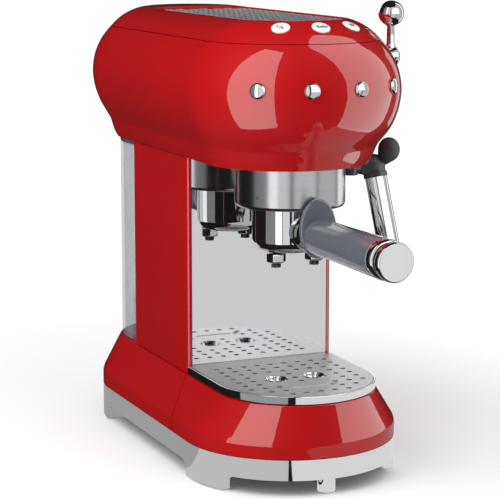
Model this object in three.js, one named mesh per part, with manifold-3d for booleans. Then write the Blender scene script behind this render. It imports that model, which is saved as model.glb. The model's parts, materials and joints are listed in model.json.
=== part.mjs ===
// A pump espresso machine with rounded "fifties" lines: a capsule-shaped head on a narrow column,
// a removable tank behind it, a base with a chrome foot frame, a drip tray, one brewing group with a
// portafilter, a steam wand and its lever.
// Millimetres, +Z up. X is to the right seen from the front, Y to the rear, Z = 0 is the worktop.
import * as THREE from 'three';
import { mergeVertices } from 'three/addons/utils/BufferGeometryUtils.js';
import Module from 'manifold-3d';

const wasm = await Module();
wasm.setup();

// ---------------------------------------------------------------- driving dimensions
const GAP = 0.3;                       // clearance between neighbouring pieces
const WALL = 2.6;                      // moulded and pressed shells
const HALF_STEPS = 12;                 // facets on each half circle of a stadium outline

// Stadium outlines: a half circle in front, one behind, straight sides between their centres.
const baseWide = { r: 73.5, front: -47, rear: 116 };
const baseTop = { r: 55.5, front: -58, rear: 129 };
const frameBottomZ = 1.2;              // the legs stand on thin pads
const archZ = 11.3;                    // lower edge of the chrome band between the legs
const frameTopZ = 25.2;
const creaseZ = 35.8;                  // where the base starts to lean in
const baseTopZ = 60;

const trayRim = { r: 55.5, front: -58, back: -0.6 };
const trayTopZ = 66.1;
const trayFloorZ = 34;
const holePitch = 10.3;
const holeRadius = 2;
const dishRadius = 8.5;

const columnHalf = 55;
const columnDepth = 106;
const columnTopZ = 215.5;
const sidePanelTopZ = 212.2;
const panelHalf = 51.4;
const panelThick = 1.6;

const tank = { r: 53.4, front: 107, rear: 131, bottomZ: 60.6, topZ: 208.5, wall: 2.2 };
const seat = { half: 45, depth: 12, topZ: 88 };

const groupY = -50;                    // the brewing group stands under the front centre of the head
const collarRadius = 37.5;
const collarZ = 184.1;
const cupRadius = 25.6;
const cupZ = 153;
const spoutX = 13.9;
const spoutY = -59.5;                  // the two spouts sit in the front half of the cup
const handleZ = 168.4;
const handleTurn = THREE.MathUtils.degToRad(1);

const lidSeamZ = 295;
const chassisZ = 216;
const chassisThick = 3;
const leverAt = new THREE.Vector3(76, -48, 281);
const ballZ = 310.2;
const wandPivot = new THREE.Vector3(63, -47, 206.5);
const wandDirection = new THREE.Vector3(4, -9, -38.4).normalize();

// Side profile of the head: height, half width, centres of the front and rear half circles.
const headProfile = [
  [212.5, 55.5, -44.2, 131], [217, 57.8, -44.4, 131], [222, 59.6, -45, 130.5], [226, 61, -46, 130],
  [232, 64.6, -48.6, 129.5], [239, 68.6, -50, 129], [247, 71.8, -50, 129], [255, 73.6, -50, 129],
  [262, 74.2, -50, 129], [270, 73.4, -50, 129], [277, 71.6, -50, 129], [284, 68.4, -50, 129],
  [290, 64.4, -50, 129], [lidSeamZ - 0.2, 60.2, -50, 129],
];
const lidProfile = [
  [lidSeamZ + 0.2, 59.8, -50, 129], [299, 56.3, -50, 129], [302.5, 52, -50, 129],
  [305.5, 46.6, -50, 129], [308.2, 40, -50, 129], [309.4, 33.5, -50, 129], [309.8, 28, -50, 129],
];
const lidInside = [
  [lidSeamZ - 1, 57.2, -50, 129], [299, 53, -50, 129], [302.2, 47, -50, 129], [302.6, 38, -50, 129],
];
// The cup rest is sunk into the lid: round in front, square behind.
const grille = { r: 37, front: -50, back: 114.6, topZ: 306.7, thick: 1.2 };
const buttonRing = 47.5;               // from the front centre of the head
const buttonTurns = [-32, 0, 32];      // degrees
const buttonTilt = THREE.MathUtils.degToRad(25.6);
const buttonSurfaceZ = 305;
const buttonRadius = 6.1;
const boardZ = 288;
const studTurns = [-40.5, -13.5, 13.5, 40.5];
const studZ = 266.5;

// ---------------------------------------------------------------- finishes
const finish = (color, roughness, metalness, extra = {}) =>
  new THREE.MeshStandardMaterial({ color, roughness, metalness, ...extra });
const red = finish(0xb00f16, 0.15, 0);
const chrome = finish(0xd8d8da, 0.06, 1);
const steel = finish(0xb4b5b8, 0.3, 1);
const mirrorSteel = finish(0xc8c8ca, 0.05, 1);
const greyPlastic = finish(0x5f646b, 0.3, 0);
const blackPlastic = finish(0x161617, 0.45, 0);
const rubber = finish(0x2a2b2d, 0.8, 0);
const whitePlastic = finish(0xf2f2f0, 0.3, 0);
const clearPlastic = finish(0xdfe6ea, 0.05, 0, { transparent: true, opacity: 0.35 });
const brass = finish(0xb08d4c, 0.35, 1);
const castAluminium = finish(0x9b9da0, 0.5, 1);
const boardGreen = finish(0x1f5a38, 0.6, 0);
const hoseWhite = finish(0xd9dcdc, 0.5, 0);

// ---------------------------------------------------------------- solids
function triangleVolume(position, a, b, c) {
  const [p, q, r] = [a, b, c].map((i) => new THREE.Vector3().fromBufferAttribute(position, i));
  return p.dot(q.cross(r)) / 6;
}

// A closed three.js geometry as a Manifold, with merged corners, no slivers and faces turned outward.
function solid(geometry) {
  const bare = geometry.clone();
  bare.deleteAttribute('normal');
  bare.deleteAttribute('uv');
  const merged = mergeVertices(bare, 1e-4);
  const index = merged.index.array;
  const position = merged.attributes.position;
  const triangles = [];
  let volume = 0;
  for (let i = 0; i < index.length; i += 3) {
    const [a, b, c] = [index[i], index[i + 1], index[i + 2]];
    if (a === b || b === c || c === a) continue;
    triangles.push([a, b, c]);
    volume += triangleVolume(position, a, b, c);
  }
  const outward = volume < 0 ? triangles.map(([a, b, c]) => [a, c, b]) : triangles;
  return new wasm.Manifold(new wasm.Mesh({
    numProp: 3,
    vertProperties: new Float32Array(position.array),
    triVerts: new Uint32Array(outward.flat()),
  }));
}

function geometryOf(manifold) {
  const mesh = manifold.getMesh();
  const geometry = new THREE.BufferGeometry();
  geometry.setAttribute('position', new THREE.BufferAttribute(new Float32Array(mesh.vertProperties), 3));
  geometry.setIndex(new THREE.BufferAttribute(new Uint32Array(mesh.triVerts), 1));
  geometry.computeVertexNormals();
  return geometry;
}

const cut = (body, ...tools) => tools.reduce((rest, tool) => rest.subtract(tool), body);
const join = (body, ...others) => others.reduce((sum, other) => sum.add(other), body);

function block(x0, x1, y0, y1, z0, z1) {
  const geometry = new THREE.BoxGeometry(x1 - x0, y1 - y0, z1 - z0);
  geometry.translate((x0 + x1) / 2, (y0 + y1) / 2, (z0 + z1) / 2);
  return solid(geometry);
}

// A flat outline pushed up from z0 to z1.
function slab(shape, z0, z1, curveSegments = 16) {
  const geometry = new THREE.ExtrudeGeometry(shape, { depth: z1 - z0, bevelEnabled: false, curveSegments });
  geometry.translate(0, 0, z0);
  return solid(geometry);
}

// A profile of [radius, height] pairs turned about a vertical axis through (x, y).
function turned(profile, x = 0, y = 0, segments = 32) {
  const points = profile.map(([r, z]) => new THREE.Vector2(r, z));
  const geometry = new THREE.LatheGeometry(points, segments);
  geometry.rotateX(Math.PI / 2);
  geometry.translate(x, y, 0);
  return solid(geometry);
}

// The same, about an axis from a point along a direction; heights are counted from the point.
function turnedAlong(profile, from, direction, segments = 24) {
  const geometry = new THREE.LatheGeometry(profile.map(([r, z]) => new THREE.Vector2(r, z)), segments);
  const turn = new THREE.Quaternion().setFromUnitVectors(new THREE.Vector3(0, 1, 0), direction);
  geometry.applyQuaternion(turn);
  geometry.translate(from.x, from.y, from.z);
  return solid(geometry);
}

const disc = (radius, z0, z1, x = 0, y = 0, segments = 24) =>
  turned([[0, z0], [radius, z0], [radius, z1], [0, z1]], x, y, segments);

function rod(from, to, radius, segments = 16) {
  const direction = to.clone().sub(from);
  const profile = [[0, 0], [radius, 0], [radius, direction.length()], [0, direction.length()]];
  return turnedAlong(profile, from, direction.normalize(), segments);
}

function hose(points, radius, steps, sides = 8) {
  const section = new THREE.Shape();
  section.absarc(0, 0, radius, 0, 2 * Math.PI);
  const path = new THREE.CatmullRomCurve3(points.map((p) => new THREE.Vector3(...p)));
  return solid(new THREE.ExtrudeGeometry(section, { steps, extrudePath: path, curveSegments: sides / 2 }));
}

// A stack of stadium sections [z, r, frontCentre, rearCentre], closed at both ends.
function stadiumLoft(sections) {
  const positions = [];
  const indices = [];
  const ring = 2 * (HALF_STEPS + 1);
  for (const [z, r, front, rear] of sections) {
    for (const [centre, start] of [[front, Math.PI], [rear, 0]]) {
      for (let i = 0; i <= HALF_STEPS; i += 1) {
        const angle = start + (Math.PI * i) / HALF_STEPS;
        positions.push(r * Math.cos(angle), centre + r * Math.sin(angle), z);
      }
    }
  }
  for (let level = 0; level < sections.length - 1; level += 1) {
    for (let i = 0; i < ring; i += 1) {
      const a = level * ring + i;
      const b = level * ring + ((i + 1) % ring);
      indices.push(a, b, b + ring, a, b + ring, a + ring);
    }
  }
  const last = (sections.length - 1) * ring;
  for (let i = 1; i < ring - 1; i += 1) {
    indices.push(0, i + 1, i);
    indices.push(last, last + i, last + i + 1);
  }
  const geometry = new THREE.BufferGeometry();
  geometry.setAttribute('position', new THREE.Float32BufferAttribute(positions, 3));
  geometry.setIndex(indices);
  return solid(geometry);
}

const stadium = ({ r, front, rear }, z0, z1, inset = 0) =>
  stadiumLoft([[z0, r - inset, front, rear], [z1, r - inset, front, rear]]);

const inward = (profile, wall) => profile.map(([z, r, front, rear]) => [z, r - wall, front, rear]);

// A D outline: half circle in front, straight sides back to a flat rear edge.
function dShape(radius, frontCentre, backY) {
  const shape = new THREE.Shape();
  shape.moveTo(radius, backY);
  shape.lineTo(-radius, backY);
  shape.lineTo(-radius, frontCentre);
  shape.absarc(0, frontCentre, radius, Math.PI, 2 * Math.PI, false);
  shape.lineTo(radius, backY);
  return shape;
}

// The tank's outline: flat in front, half circle behind.
function tankShape(inset) {
  const radius = tank.r - inset;
  const shape = new THREE.Shape();
  shape.moveTo(-radius, tank.front + inset);
  shape.lineTo(radius, tank.front + inset);
  shape.lineTo(radius, tank.rear);
  shape.absarc(0, tank.rear, radius, 0, Math.PI, false);
  shape.lineTo(-radius, tank.front + inset);
  return shape;
}

// An arch opening: a low rectangle with rounded upper corners, drawn in (along, up).
function archShape(from, to, top, radius = 8) {
  const shape = new THREE.Shape();
  shape.moveTo(from, -5);
  shape.lineTo(to, -5);
  shape.lineTo(to, top - radius);
  shape.absarc(to - radius, top - radius, radius, 0, Math.PI / 2, false);
  shape.absarc(from + radius, top - radius, radius, Math.PI / 2, Math.PI, false);
  shape.lineTo(from, -5);
  return shape;
}

function archAlongX(fromY, toY, top) {
  const geometry = new THREE.ExtrudeGeometry(archShape(fromY, toY, top),
    { depth: 200, bevelEnabled: false, curveSegments: 5 });
  geometry.translate(0, 0, -100);
  geometry.applyMatrix4(new THREE.Matrix4().set(0, 0, 1, 0, 1, 0, 0, 0, 0, 1, 0, 0, 0, 0, 0, 1));
  return solid(geometry);
}

function archAlongY(fromX, toX, top, y0, y1) {
  const geometry = new THREE.ExtrudeGeometry(archShape(fromX, toX, top),
    { depth: y1 - y0, bevelEnabled: false, curveSegments: 5 });
  geometry.rotateX(Math.PI / 2);
  geometry.translate(0, y1, 0);
  return solid(geometry);
}

// ---------------------------------------------------------------- assembly helper
const machine = new THREE.Group();

function add(name, manifold, material, parent = machine) {
  const mesh = new THREE.Mesh(geometryOf(manifold), material);
  mesh.name = name;
  parent.add(mesh);
  return mesh;
}

// ---------------------------------------------------------------- foot frame and base
const legDepth = 15.5;                 // how far each leg reaches in from the side of the frame
const frontLeg = [-83, -42];           // from, to along Y
const rearLeg = [120, 153];
const pads = [[-64.5, -62], [64.5, -62], [-64, 136], [64, 136]];
const padRadius = 5.2;
const postAt = [0, -110];
const postRadius = 6;
const plateZ = 13;
const padTopZ = frameBottomZ - GAP;

function buildFootFrame() {
  const band = cut(
    stadium(baseWide, frameBottomZ, frameTopZ),
    stadium(baseWide, frameBottomZ - 1, frameTopZ + 1, 3),
    archAlongX(-150, frontLeg[0], archZ),
    archAlongX(frontLeg[1], rearLeg[0], archZ),
    archAlongX(rearLeg[1], 220, archZ),
  );
  const inner = baseWide.r - legDepth;
  const feet = [frontLeg, rearLeg].flatMap(([y0, y1]) => [[-90, -inner], [inner, 90]].map(([x0, x1]) =>
    stadium(baseWide, frameBottomZ, plateZ - GAP, 0.5).intersect(block(x0, x1, y0, y1, 0, 20))));
  add('foot_frame', join(band, ...feet), chrome);
  add('front_post', disc(postRadius, 0, plateZ - GAP, ...postAt), chrome);
  pads.forEach(([x, y], i) => {
    add(`foot_pad_${i + 1}`, disc(padRadius, 0, padTopZ, x, y, 20), rubber);
  });
  add('bottom_plate', stadium(baseWide, plateZ, plateZ + 2.5, 3.5), blackPlastic);
}

const baseOutside = [
  [frameTopZ + GAP, baseWide.r, baseWide.front, baseWide.rear],
  [creaseZ, baseWide.r, baseWide.front, baseWide.rear],
  [baseTopZ, baseTop.r, baseTop.front, baseTop.rear],
];
const baseInside = [
  [frameTopZ - 5, baseWide.r - WALL, baseWide.front, baseWide.rear],
  [creaseZ - 1, baseWide.r - WALL, baseWide.front, baseWide.rear],
  [baseTopZ - WALL, baseTop.r - 2.2, baseTop.front + 0.5, baseTop.rear],
];
const binRadius = 51.4;

// Everything in front of a seam that runs from the column corners out and forward.
function frontRegion(offset) {
  const shape = new THREE.Shape();
  shape.moveTo(-90, -33 - offset);
  shape.lineTo(-columnHalf, 2 - offset);
  shape.lineTo(columnHalf, 2 - offset);
  shape.lineTo(90, -33 - offset);
  shape.lineTo(90, -180);
  shape.lineTo(-90, -180);
  shape.lineTo(-90, -33 - offset);
  return slab(shape, 0, 90);
}

function buildBase() {
  const trayWell = slab(dShape(binRadius + 0.6, trayRim.front, 10), 30, 80, 14);
  const shell = cut(stadiumLoft(baseOutside), stadiumLoft(baseInside));
  add('base_front_shell', cut(shell, trayWell).intersect(frontRegion(0.2)), red);
  const glandHole = rod(new THREE.Vector3(0, 174, 31), new THREE.Vector3(0, 204, 31), 4.4);
  const intakeHole = disc(6, 50, 70, 20, 88);
  add('base_rear_shell', cut(shell, frontRegion(-0.2), glandHole, intakeHole), red);
  const gland = turnedAlong([[0, 0], [6, 0], [6, 1.6], [4, 1.6], [4, 6.2], [6, 6.2], [5, 9], [0, 9]],
    new THREE.Vector3(0, 184.2, 31), new THREE.Vector3(0, 1, 0), 16);
  add('cord_gland', gland, blackPlastic);
}

// ---------------------------------------------------------------- drip tray
function buildTray() {
  const outer = slab(dShape(binRadius, trayRim.front, -2.4), trayFloorZ, trayTopZ - 1.5, 14);
  const flange = slab(dShape(binRadius + 2.4, trayRim.front, -2.4), baseTopZ + GAP, baseTopZ + 1.8, 14);
  const hollow = slab(dShape(binRadius - 2, trayRim.front, -4.4), trayFloorZ + 2, trayTopZ, 14);
  add('drip_tray_bin', cut(join(outer, flange), hollow), blackPlastic);

  const plateRadius = trayRim.r - 1.5;
  const plate = slab(dShape(plateRadius, trayRim.front, -2.2), trayTopZ - 1.2, trayTopZ, 14);
  const holes = [];
  for (let column = -4; column <= 4; column += 1) {
    for (let row = 1; row <= 10; row += 1) {
      const x = column * holePitch;
      const y = trayRim.front + 50 - row * holePitch;
      const inside = y > trayRim.front || Math.hypot(x, y - trayRim.front) < plateRadius - 5;
      const onDish = Math.abs(y - spoutY) < 12 && Math.abs(Math.abs(x) - spoutX) < 12;
      const onSlot = Math.abs(y + 86) < 8 && Math.abs(x) < 20;
      if (inside && !onDish && !onSlot) holes.push(disc(holeRadius, trayTopZ - 3, trayTopZ + 1, x, y, 6));
    }
  }
  const dishHoles = [-spoutX, spoutX].map((x) => disc(dishRadius - 3, trayTopZ - 3, trayTopZ + 1, x, spoutY, 16));
  add('drip_tray_grid', cut(plate, ...holes, ...dishHoles), steel);
  const rimOuter = slab(dShape(trayRim.r, trayRim.front, trayRim.back), baseTopZ + 0.5, trayTopZ - 0.2, 14);
  const rimInner = slab(dShape(trayRim.r - 1.2, trayRim.front, trayRim.back - 1.2), baseTopZ - 5, trayTopZ + 5, 14);
  add('drip_tray_rim', cut(rimOuter, rimInner), chrome);
}

// ---------------------------------------------------------------- column and tank
function sidePanelShape(side) {
  const shape = new THREE.Shape();
  const corner = 3;
  const inner = columnHalf - 2.2;
  shape.moveTo(side * (panelHalf + GAP), 0);
  shape.lineTo(side * (columnHalf - corner), 0);
  const facets = 4;
  for (let i = 1; i <= facets; i += 1) {
    const angle = (Math.PI / 2) * (i / facets);
    shape.lineTo(side * (columnHalf - corner + corner * Math.sin(angle)), corner - corner * Math.cos(angle));
  }
  shape.lineTo(side * columnHalf, columnDepth);
  shape.lineTo(side * inner, columnDepth);
  shape.lineTo(side * inner, corner);
  shape.lineTo(side * (panelHalf + GAP), 2.4);
  shape.lineTo(side * (panelHalf + GAP), 0);
  return shape;
}

function buildColumn() {
  const z0 = baseTopZ + GAP;
  add('column_left_panel', slab(sidePanelShape(-1), z0, sidePanelTopZ), red);
  add('column_right_panel', slab(sidePanelShape(1), z0, sidePanelTopZ), red);
  add('column_front_panel', block(-panelHalf, panelHalf, 0, panelThick, z0, columnTopZ), mirrorSteel);
  const half = columnHalf - 2.2 - GAP;
  const back = block(-half, half, columnDepth - 2.5, columnDepth, z0, columnTopZ);
  const ribs = [-30, 30].map((x) => block(x - 1.5, x + 1.5, columnDepth - 30, columnDepth - 2, z0, columnTopZ));
  const portHole = rod(new THREE.Vector3(0, columnDepth - 8, 74), new THREE.Vector3(0, columnDepth + 2, 74), 7);
  add('column_back_plate', cut(join(back, ...ribs), portHole), greyPlastic);
}

function buildTank() {
  const y0 = columnDepth + GAP;
  const portBore = rod(new THREE.Vector3(0, y0 - 1, 74), new THREE.Vector3(0, y0 + 30, 74), 6.6);
  const seatBody = block(-seat.half, seat.half, y0, y0 + seat.depth, baseTopZ + GAP, seat.topZ);
  add('tank_seat', cut(seatBody, portBore), red);
  add('tank_seat_seal', block(-seat.half, seat.half, y0, y0 + seat.depth, seat.topZ + GAP, seat.topZ + 4.3), rubber);

  const clearZ = seat.topZ + 5;
  const clearY = y0 + seat.depth + 0.5;
  const outer = cut(slab(tankShape(0), tank.bottomZ, tank.topZ, 24),
    block(-60, 60, tank.front - 5, clearY, tank.bottomZ - 5, clearZ));
  const inner = cut(slab(tankShape(tank.wall), tank.bottomZ + tank.wall, tank.topZ + 5, 24),
    block(-60, 60, tank.front - 5, clearY + tank.wall, tank.bottomZ - 5, clearZ + tank.wall));
  const outletHole = rod(new THREE.Vector3(0, clearY - 2, 74), new THREE.Vector3(0, clearY + 5, 74), 4.4);
  add('water_tank', cut(outer, inner, outletHole), clearPlastic);
  add('tank_lid', slab(tankShape(0), tank.topZ + GAP, tank.topZ + 3.2, 24), greyPlastic);
  const valve = [[0, -9], [5, -9], [6, -7], [6, -0.4], [4, -0.4], [4, 2.6], [7, 2.6], [7, 8], [3, 9], [0, 9]];
  add('tank_outlet_valve', turnedAlong(valve, new THREE.Vector3(0, clearY, 74), new THREE.Vector3(0, 1, 0), 16),
    blackPlastic);
}

// ---------------------------------------------------------------- head
const buttonFrames = buttonTurns.map((turn) => {
  const angle = THREE.MathUtils.degToRad(turn);
  const out = new THREE.Vector3(Math.sin(angle), -Math.cos(angle), 0);
  const at = out.clone().multiplyScalar(buttonRing).add(new THREE.Vector3(0, -50, buttonSurfaceZ));
  const normal = out.multiplyScalar(Math.sin(buttonTilt)).add(new THREE.Vector3(0, 0, Math.cos(buttonTilt)));
  return { at, normal };
});

function alongButton({ at, normal }, radius, from, to, segments = 20) {
  const start = at.clone().addScaledVector(normal, from);
  return rod(start, at.clone().addScaledVector(normal, to), radius, segments);
}

function buildHead() {
  const inside = inward(headProfile, WALL);
  inside[0] = [headProfile[0][0] - 1, headProfile[0][1] - 2.1, -44.2, 131];
  inside[inside.length - 1][0] = lidSeamZ + 1;
  const bearingHole = rod(new THREE.Vector3(55, leverAt.y, leverAt.z), new THREE.Vector3(90, leverAt.y, leverAt.z), 6.4);
  add('head_shell', cut(stadiumLoft(headProfile), stadiumLoft(inside), bearingHole), red);

  const ledge = grille.topZ - grille.thick - GAP;
  const grilleRecess = slab(dShape(grille.r + 0.4, grille.front, grille.back + 0.4), ledge, 320, 12);
  const grilleOpening = slab(dShape(grille.r - 3, grille.front, grille.back - 3), 290, 320, 12);
  const buttonHoles = buttonFrames.map((frame) => alongButton(frame, buttonRadius + 0.5, -15, 6));
  add('head_lid', cut(stadiumLoft(lidProfile), stadiumLoft(lidInside), grilleRecess, grilleOpening, ...buttonHoles), red);

  const plate = slab(dShape(grille.r, grille.front, grille.back), grille.topZ - grille.thick, grille.topZ, 12);
  const slots = [];
  for (let y = grille.back - 8; y > grille.front - grille.r + 6; y -= 9.6) {
    const beyond = Math.max(0, grille.front - y);
    const reach = Math.sqrt(grille.r ** 2 - beyond ** 2) - 6;
    if (reach > 4) slots.push(block(-reach, reach, y - 1.5, y + 1.5, 300, 312));
  }
  add('cup_grille', cut(plate, ...slots), steel);

  const chassis = stadiumLoft([[chassisZ, 54.6, -42.5, 131], [chassisZ + chassisThick, 54.6, -42.5, 131]]);
  const groupHole = disc(34.4, 200, 230, 0, groupY, 32);
  const hoseHole = disc(5, 200, 230, 20, 88, 16);
  const wandHole = disc(5.5, 200, 230, 47, wandPivot.y, 16);
  add('head_chassis', cut(chassis, groupHole, hoseHole, wandHole), blackPlastic);

  buttonFrames.forEach((frame, i) => {
    const cap = turnedAlong([[0, -4.5], [buttonRadius, -4.5], [buttonRadius, -0.2], [5.6, 0.5], [0, 0.7]],
      frame.at, frame.normal, 24);
    add(`button_${i + 1}`, cap, whitePlastic);
  });
  const switches = buttonFrames.map((frame) => {
    const foot = frame.at.clone().addScaledVector(frame.normal, -8);
    return rod(foot, new THREE.Vector3(foot.x, foot.y, boardZ + 0.5), 2.6, 12);
  });
  add('button_board', join(block(-32, 32, -97, -74, boardZ, boardZ + 1.6), ...switches), boardGreen);

  studTurns.forEach((turn, i) => {
    const angle = THREE.MathUtils.degToRad(turn);
    const out = new THREE.Vector3(Math.sin(angle), -Math.cos(angle), 0);
    const radius = 73.9;
    const at = new THREE.Vector3(0, -50, studZ).addScaledVector(out, radius);
    out.z = 0.08;
    out.normalize();
    add(`front_stud_${i + 1}`, turnedAlong([[0, 0.5], [5.2, 0.5], [5.2, 1.2], [3.6, 2.2], [0, 2.8]], at, out, 20), chrome);
  });
}

// ---------------------------------------------------------------- brewing group
function buildGroup() {
  const top = columnTopZ;
  add('group_collar', turned([
    [32.2, collarZ], [collarRadius - 2, collarZ], [collarRadius - 0.6, collarZ + 0.6], [collarRadius, collarZ + 2],
    [collarRadius, top], [34.6, top], [34.6, collarZ + 3], [32.2, collarZ + 3], [32.2, collarZ],
  ], 0, groupY, 36), steel);
  add('thermoblock', turned([
    [0, 203], [32, 203], [33.8, 205], [33.8, 232], [30, 236], [30, 240], [0, 240],
  ], 0, groupY, 32), castAluminium);
  add('group_gasket', turned([[25, 198.6], [31, 198.6], [31, 202.7], [25, 202.7], [25, 198.6]], 0, groupY, 32), rubber);
  add('shower_screen', turned([[0, 198], [4.5, 198], [4.5, 199.2], [22, 199.2], [24, 200.4], [24, 202.6], [0, 202.6]],
    0, groupY, 32), steel);
}

function buildPump() {
  const y0 = 38;
  const profile = [[0, 0], [5, 0], [5, 8], [17, 8], [19, 10], [19, 52], [17, 54], [8, 54], [8, 62], [0, 62]];
  const body = turnedAlong(profile, new THREE.Vector3(0, y0, 250), new THREE.Vector3(0, 1, 0), 24);
  const foot = block(-12, 12, y0 + 14, y0 + 46, chassisZ + chassisThick + GAP, 240);
  add('water_pump', join(body, foot), blackPlastic);
  add('intake_hose', hose([[20, 88, 58], [20, 88, 110], [20, 88, 170], [20, 90, 225], [17, 101, 243], [7, 112, 250],
    [0, 110, 250], [0, y0 + 62 + GAP, 250]], 3.5, 34), hoseWhite);
  add('pressure_hose', hose([[0, y0 - GAP, 250], [0, 20, 251], [0, -8, 252], [0, -26, 252], [0, -34, 248],
    [0, -36, 243.5], [0, -36, 240.6]], 2.6, 16), hoseWhite);
}

// ---------------------------------------------------------------- portafilter
const portafilter = new THREE.Group();
portafilter.position.set(0, groupY, 0);
portafilter.rotation.z = handleTurn;
machine.add(portafilter);
const forward = new THREE.Vector3(0, -1, 0);
const handleOrigin = new THREE.Vector3(0, 0, handleZ);

const spoutLocalY = spoutY - groupY;
const guardNarrowing = 0.73;           // the thumb guard is an upright oval

function buildPortafilter() {
  const bottomCorner = [0, 1, 2, 3].map((i) => {
    const angle = (Math.PI / 2) * (i / 3);
    return [cupRadius - 8 + 8 * Math.sin(angle), cupZ + 8 - 8 * Math.cos(angle)];
  });
  const cup = turned([
    [0, cupZ], ...bottomCorner, [cupRadius, 188.2], [cupRadius + 0.9, 189.6], [31.2, 189.6], [31.2, 193.4],
    [29.4, 193.4], [29.4, 198], [27, 198], [27, 195.4], [23.2, 195.4], [23.2, 166], [20, 160.2], [0, 160.2],
  ], 0, 0, 32);
  const drains = [-spoutX, spoutX].map((x) => disc(2, cupZ - 2, cupZ + 8, x, spoutLocalY, 8));
  const neckBore = rod(new THREE.Vector3(0, -20, handleZ), new THREE.Vector3(0, -30, handleZ), 4.2);
  add('portafilter_cup', cut(cup, ...drains, neckBore), chrome, portafilter);
  add('filter_basket', turned([
    [0, 163.5], [19.5, 163.5], [22.6, 167], [22.8, 195.8], [26.6, 195.8], [26.6, 196.8], [22, 196.8],
    [21.8, 167.4], [19, 164.4], [0, 164.4],
  ], 0, 0, 32), steel, portafilter);
  const neck = turnedAlong([[0, 23.5], [3.9, 23.5], [3.9, 23.8], [8.4, 23.8], [8.4, 32], [11, 34], [11, 40.6], [0, 40.6]],
    handleOrigin, forward, 24);
  add('portafilter_neck', cut(neck, disc(cupRadius + GAP, 140, 200, 0, 0, 32)
    .subtract(rod(new THREE.Vector3(0, 0, handleZ), new THREE.Vector3(0, -40, handleZ), 4.05))), chrome, portafilter);
  const guard = turnedAlong([[0, 41], [16.8, 41], [18, 42], [18, 43.6], [16.8, 44.6], [0, 44.6]],
    new THREE.Vector3(), forward, 32);
  add('thumb_disc', guard.scale([guardNarrowing, 1, 1]).translate([0, 0, handleZ + 6.6]), greyPlastic, portafilter);
  add('handle_grip', turnedAlong([[0, 45], [12.4, 45], [12.3, 70], [12.6, 110], [13.1, 138], [12.6, 140.4],
    [0, 140.4]], handleOrigin, forward, 32), greyPlastic, portafilter);
  add('handle_end_cap', turnedAlong([[0, 140.7], [10.8, 140.7], [10.8, 143.6], [12, 143.6], [12.7, 144.3],
    [12.7, 149], [11.8, 150.3], [0, 150.7]], handleOrigin, forward, 32), chrome, portafilter);
  [['left', -spoutX], ['right', spoutX]].forEach(([side, x]) => {
    const hexagon = turned([[2, 147], [5.4, 147], [6.4, 148.2], [6.4, cupZ - GAP], [2, cupZ - GAP], [2, 147]],
      x, spoutLocalY, 6);
    add(`spout_nut_${side}`, hexagon, chrome, portafilter);
    add(`spout_tip_${side}`, turned([[1.4, 143.2], [3, 143.2], [3.6, 144], [3.6, 146.7], [1.4, 146.7], [1.4, 143.2]],
      x, spoutLocalY, 12), blackPlastic, portafilter);
  });
}

// ---------------------------------------------------------------- steam side
function buildSteam() {
  const alongX = new THREE.Vector3(1, 0, 0);
  const { x, y, z } = leverAt;
  const valveBlock = block(40, 60, y - 10, y + 10, z - 10, z + 10);
  const axis = new THREE.Vector3(0, y, z);
  add('steam_valve', cut(valveBlock, rod(axis.clone().setX(49), axis.clone().setX(65), 3.6)), brass);
  add('lever_bearing', turnedAlong([[3.6, 62], [6, 62], [6, 72], [3.6, 72], [3.6, 62]], axis, alongX, 20), chrome);
  const hub = turnedAlong([[0, 50], [3.1, 50], [3.1, 72.4], [6.2, 72.4], [7, 74], [7, 79], [5, 81], [0, 81.6]],
    axis, alongX, 24);
  const stem = rod(new THREE.Vector3(x, y, z), new THREE.Vector3(x, y, ballZ - 8.9), 2.9, 16);
  add('steam_lever', join(hub, stem), chrome);
  const ball = new THREE.SphereGeometry(8.9, 18, 12);
  ball.rotateX(Math.PI / 2);
  ball.translate(x, y, ballZ);
  add('lever_ball', cut(solid(ball), disc(3.3, ballZ - 12, ballZ - 8.5, x, y, 16)), chrome);

  const pivot = wandPivot;
  const elbowRadius = 8.3;
  add('wand_socket', rod(new THREE.Vector3(47, pivot.y, 201), new THREE.Vector3(47, pivot.y, chassisZ + 8), 5, 16)
    .add(rod(new THREE.Vector3(44, pivot.y, pivot.z), new THREE.Vector3(53, pivot.y, pivot.z), 4.8, 16)), castAluminium);
  const bulb = new THREE.SphereGeometry(elbowRadius, 16, 10);
  bulb.translate(pivot.x + 1.6, pivot.y, pivot.z);
  const sleeve = rod(new THREE.Vector3(53.3, pivot.y, pivot.z), pivot, 5.4, 20);
  const tubeStart = pivot.clone().add(new THREE.Vector3(1.6, 0, 0));
  const neck = turnedAlong([[0, 0], [7.9, 0], [8.2, 7.5], [0, 7.5]], tubeStart, wandDirection, 24);
  add('wand_elbow', join(solid(bulb), sleeve, neck), greyPlastic);

  const tabTop = new THREE.Vector3(72.5, -52.5, 217.8);
  const tabLow = new THREE.Vector3(70, -49.5, 212.8);
  const tab = rod(tabLow.clone().add(new THREE.Vector3(-3.6, 0, 0)), tabLow.clone().add(new THREE.Vector3(3.6, 0, 0)), 5, 20)
    .add(rod(tabTop.clone().add(new THREE.Vector3(-4, 0, 0)), tabTop.clone().add(new THREE.Vector3(4, 0, 0)), 8.4, 24));
  const elbowClearance = new THREE.SphereGeometry(elbowRadius + 0.5, 14, 8);
  elbowClearance.translate(pivot.x + 1.6, pivot.y, pivot.z);
  add('wand_tab', cut(tab, solid(elbowClearance)), rubber);

  add('wand_tube', turnedAlong([[6.4, 7.8], [7.7, 7.8], [7.7, 66.5], [6.9, 68], [6.4, 68], [6.4, 7.8]],
    tubeStart, wandDirection, 28), chrome);
  add('wand_nozzle', turnedAlong([[0, 8.8], [3, 8.8], [3, 70.5], [3.6, 72.5], [2.4, 76.5], [0, 77.5]],
    tubeStart, wandDirection, 16), steel);
}

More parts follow.
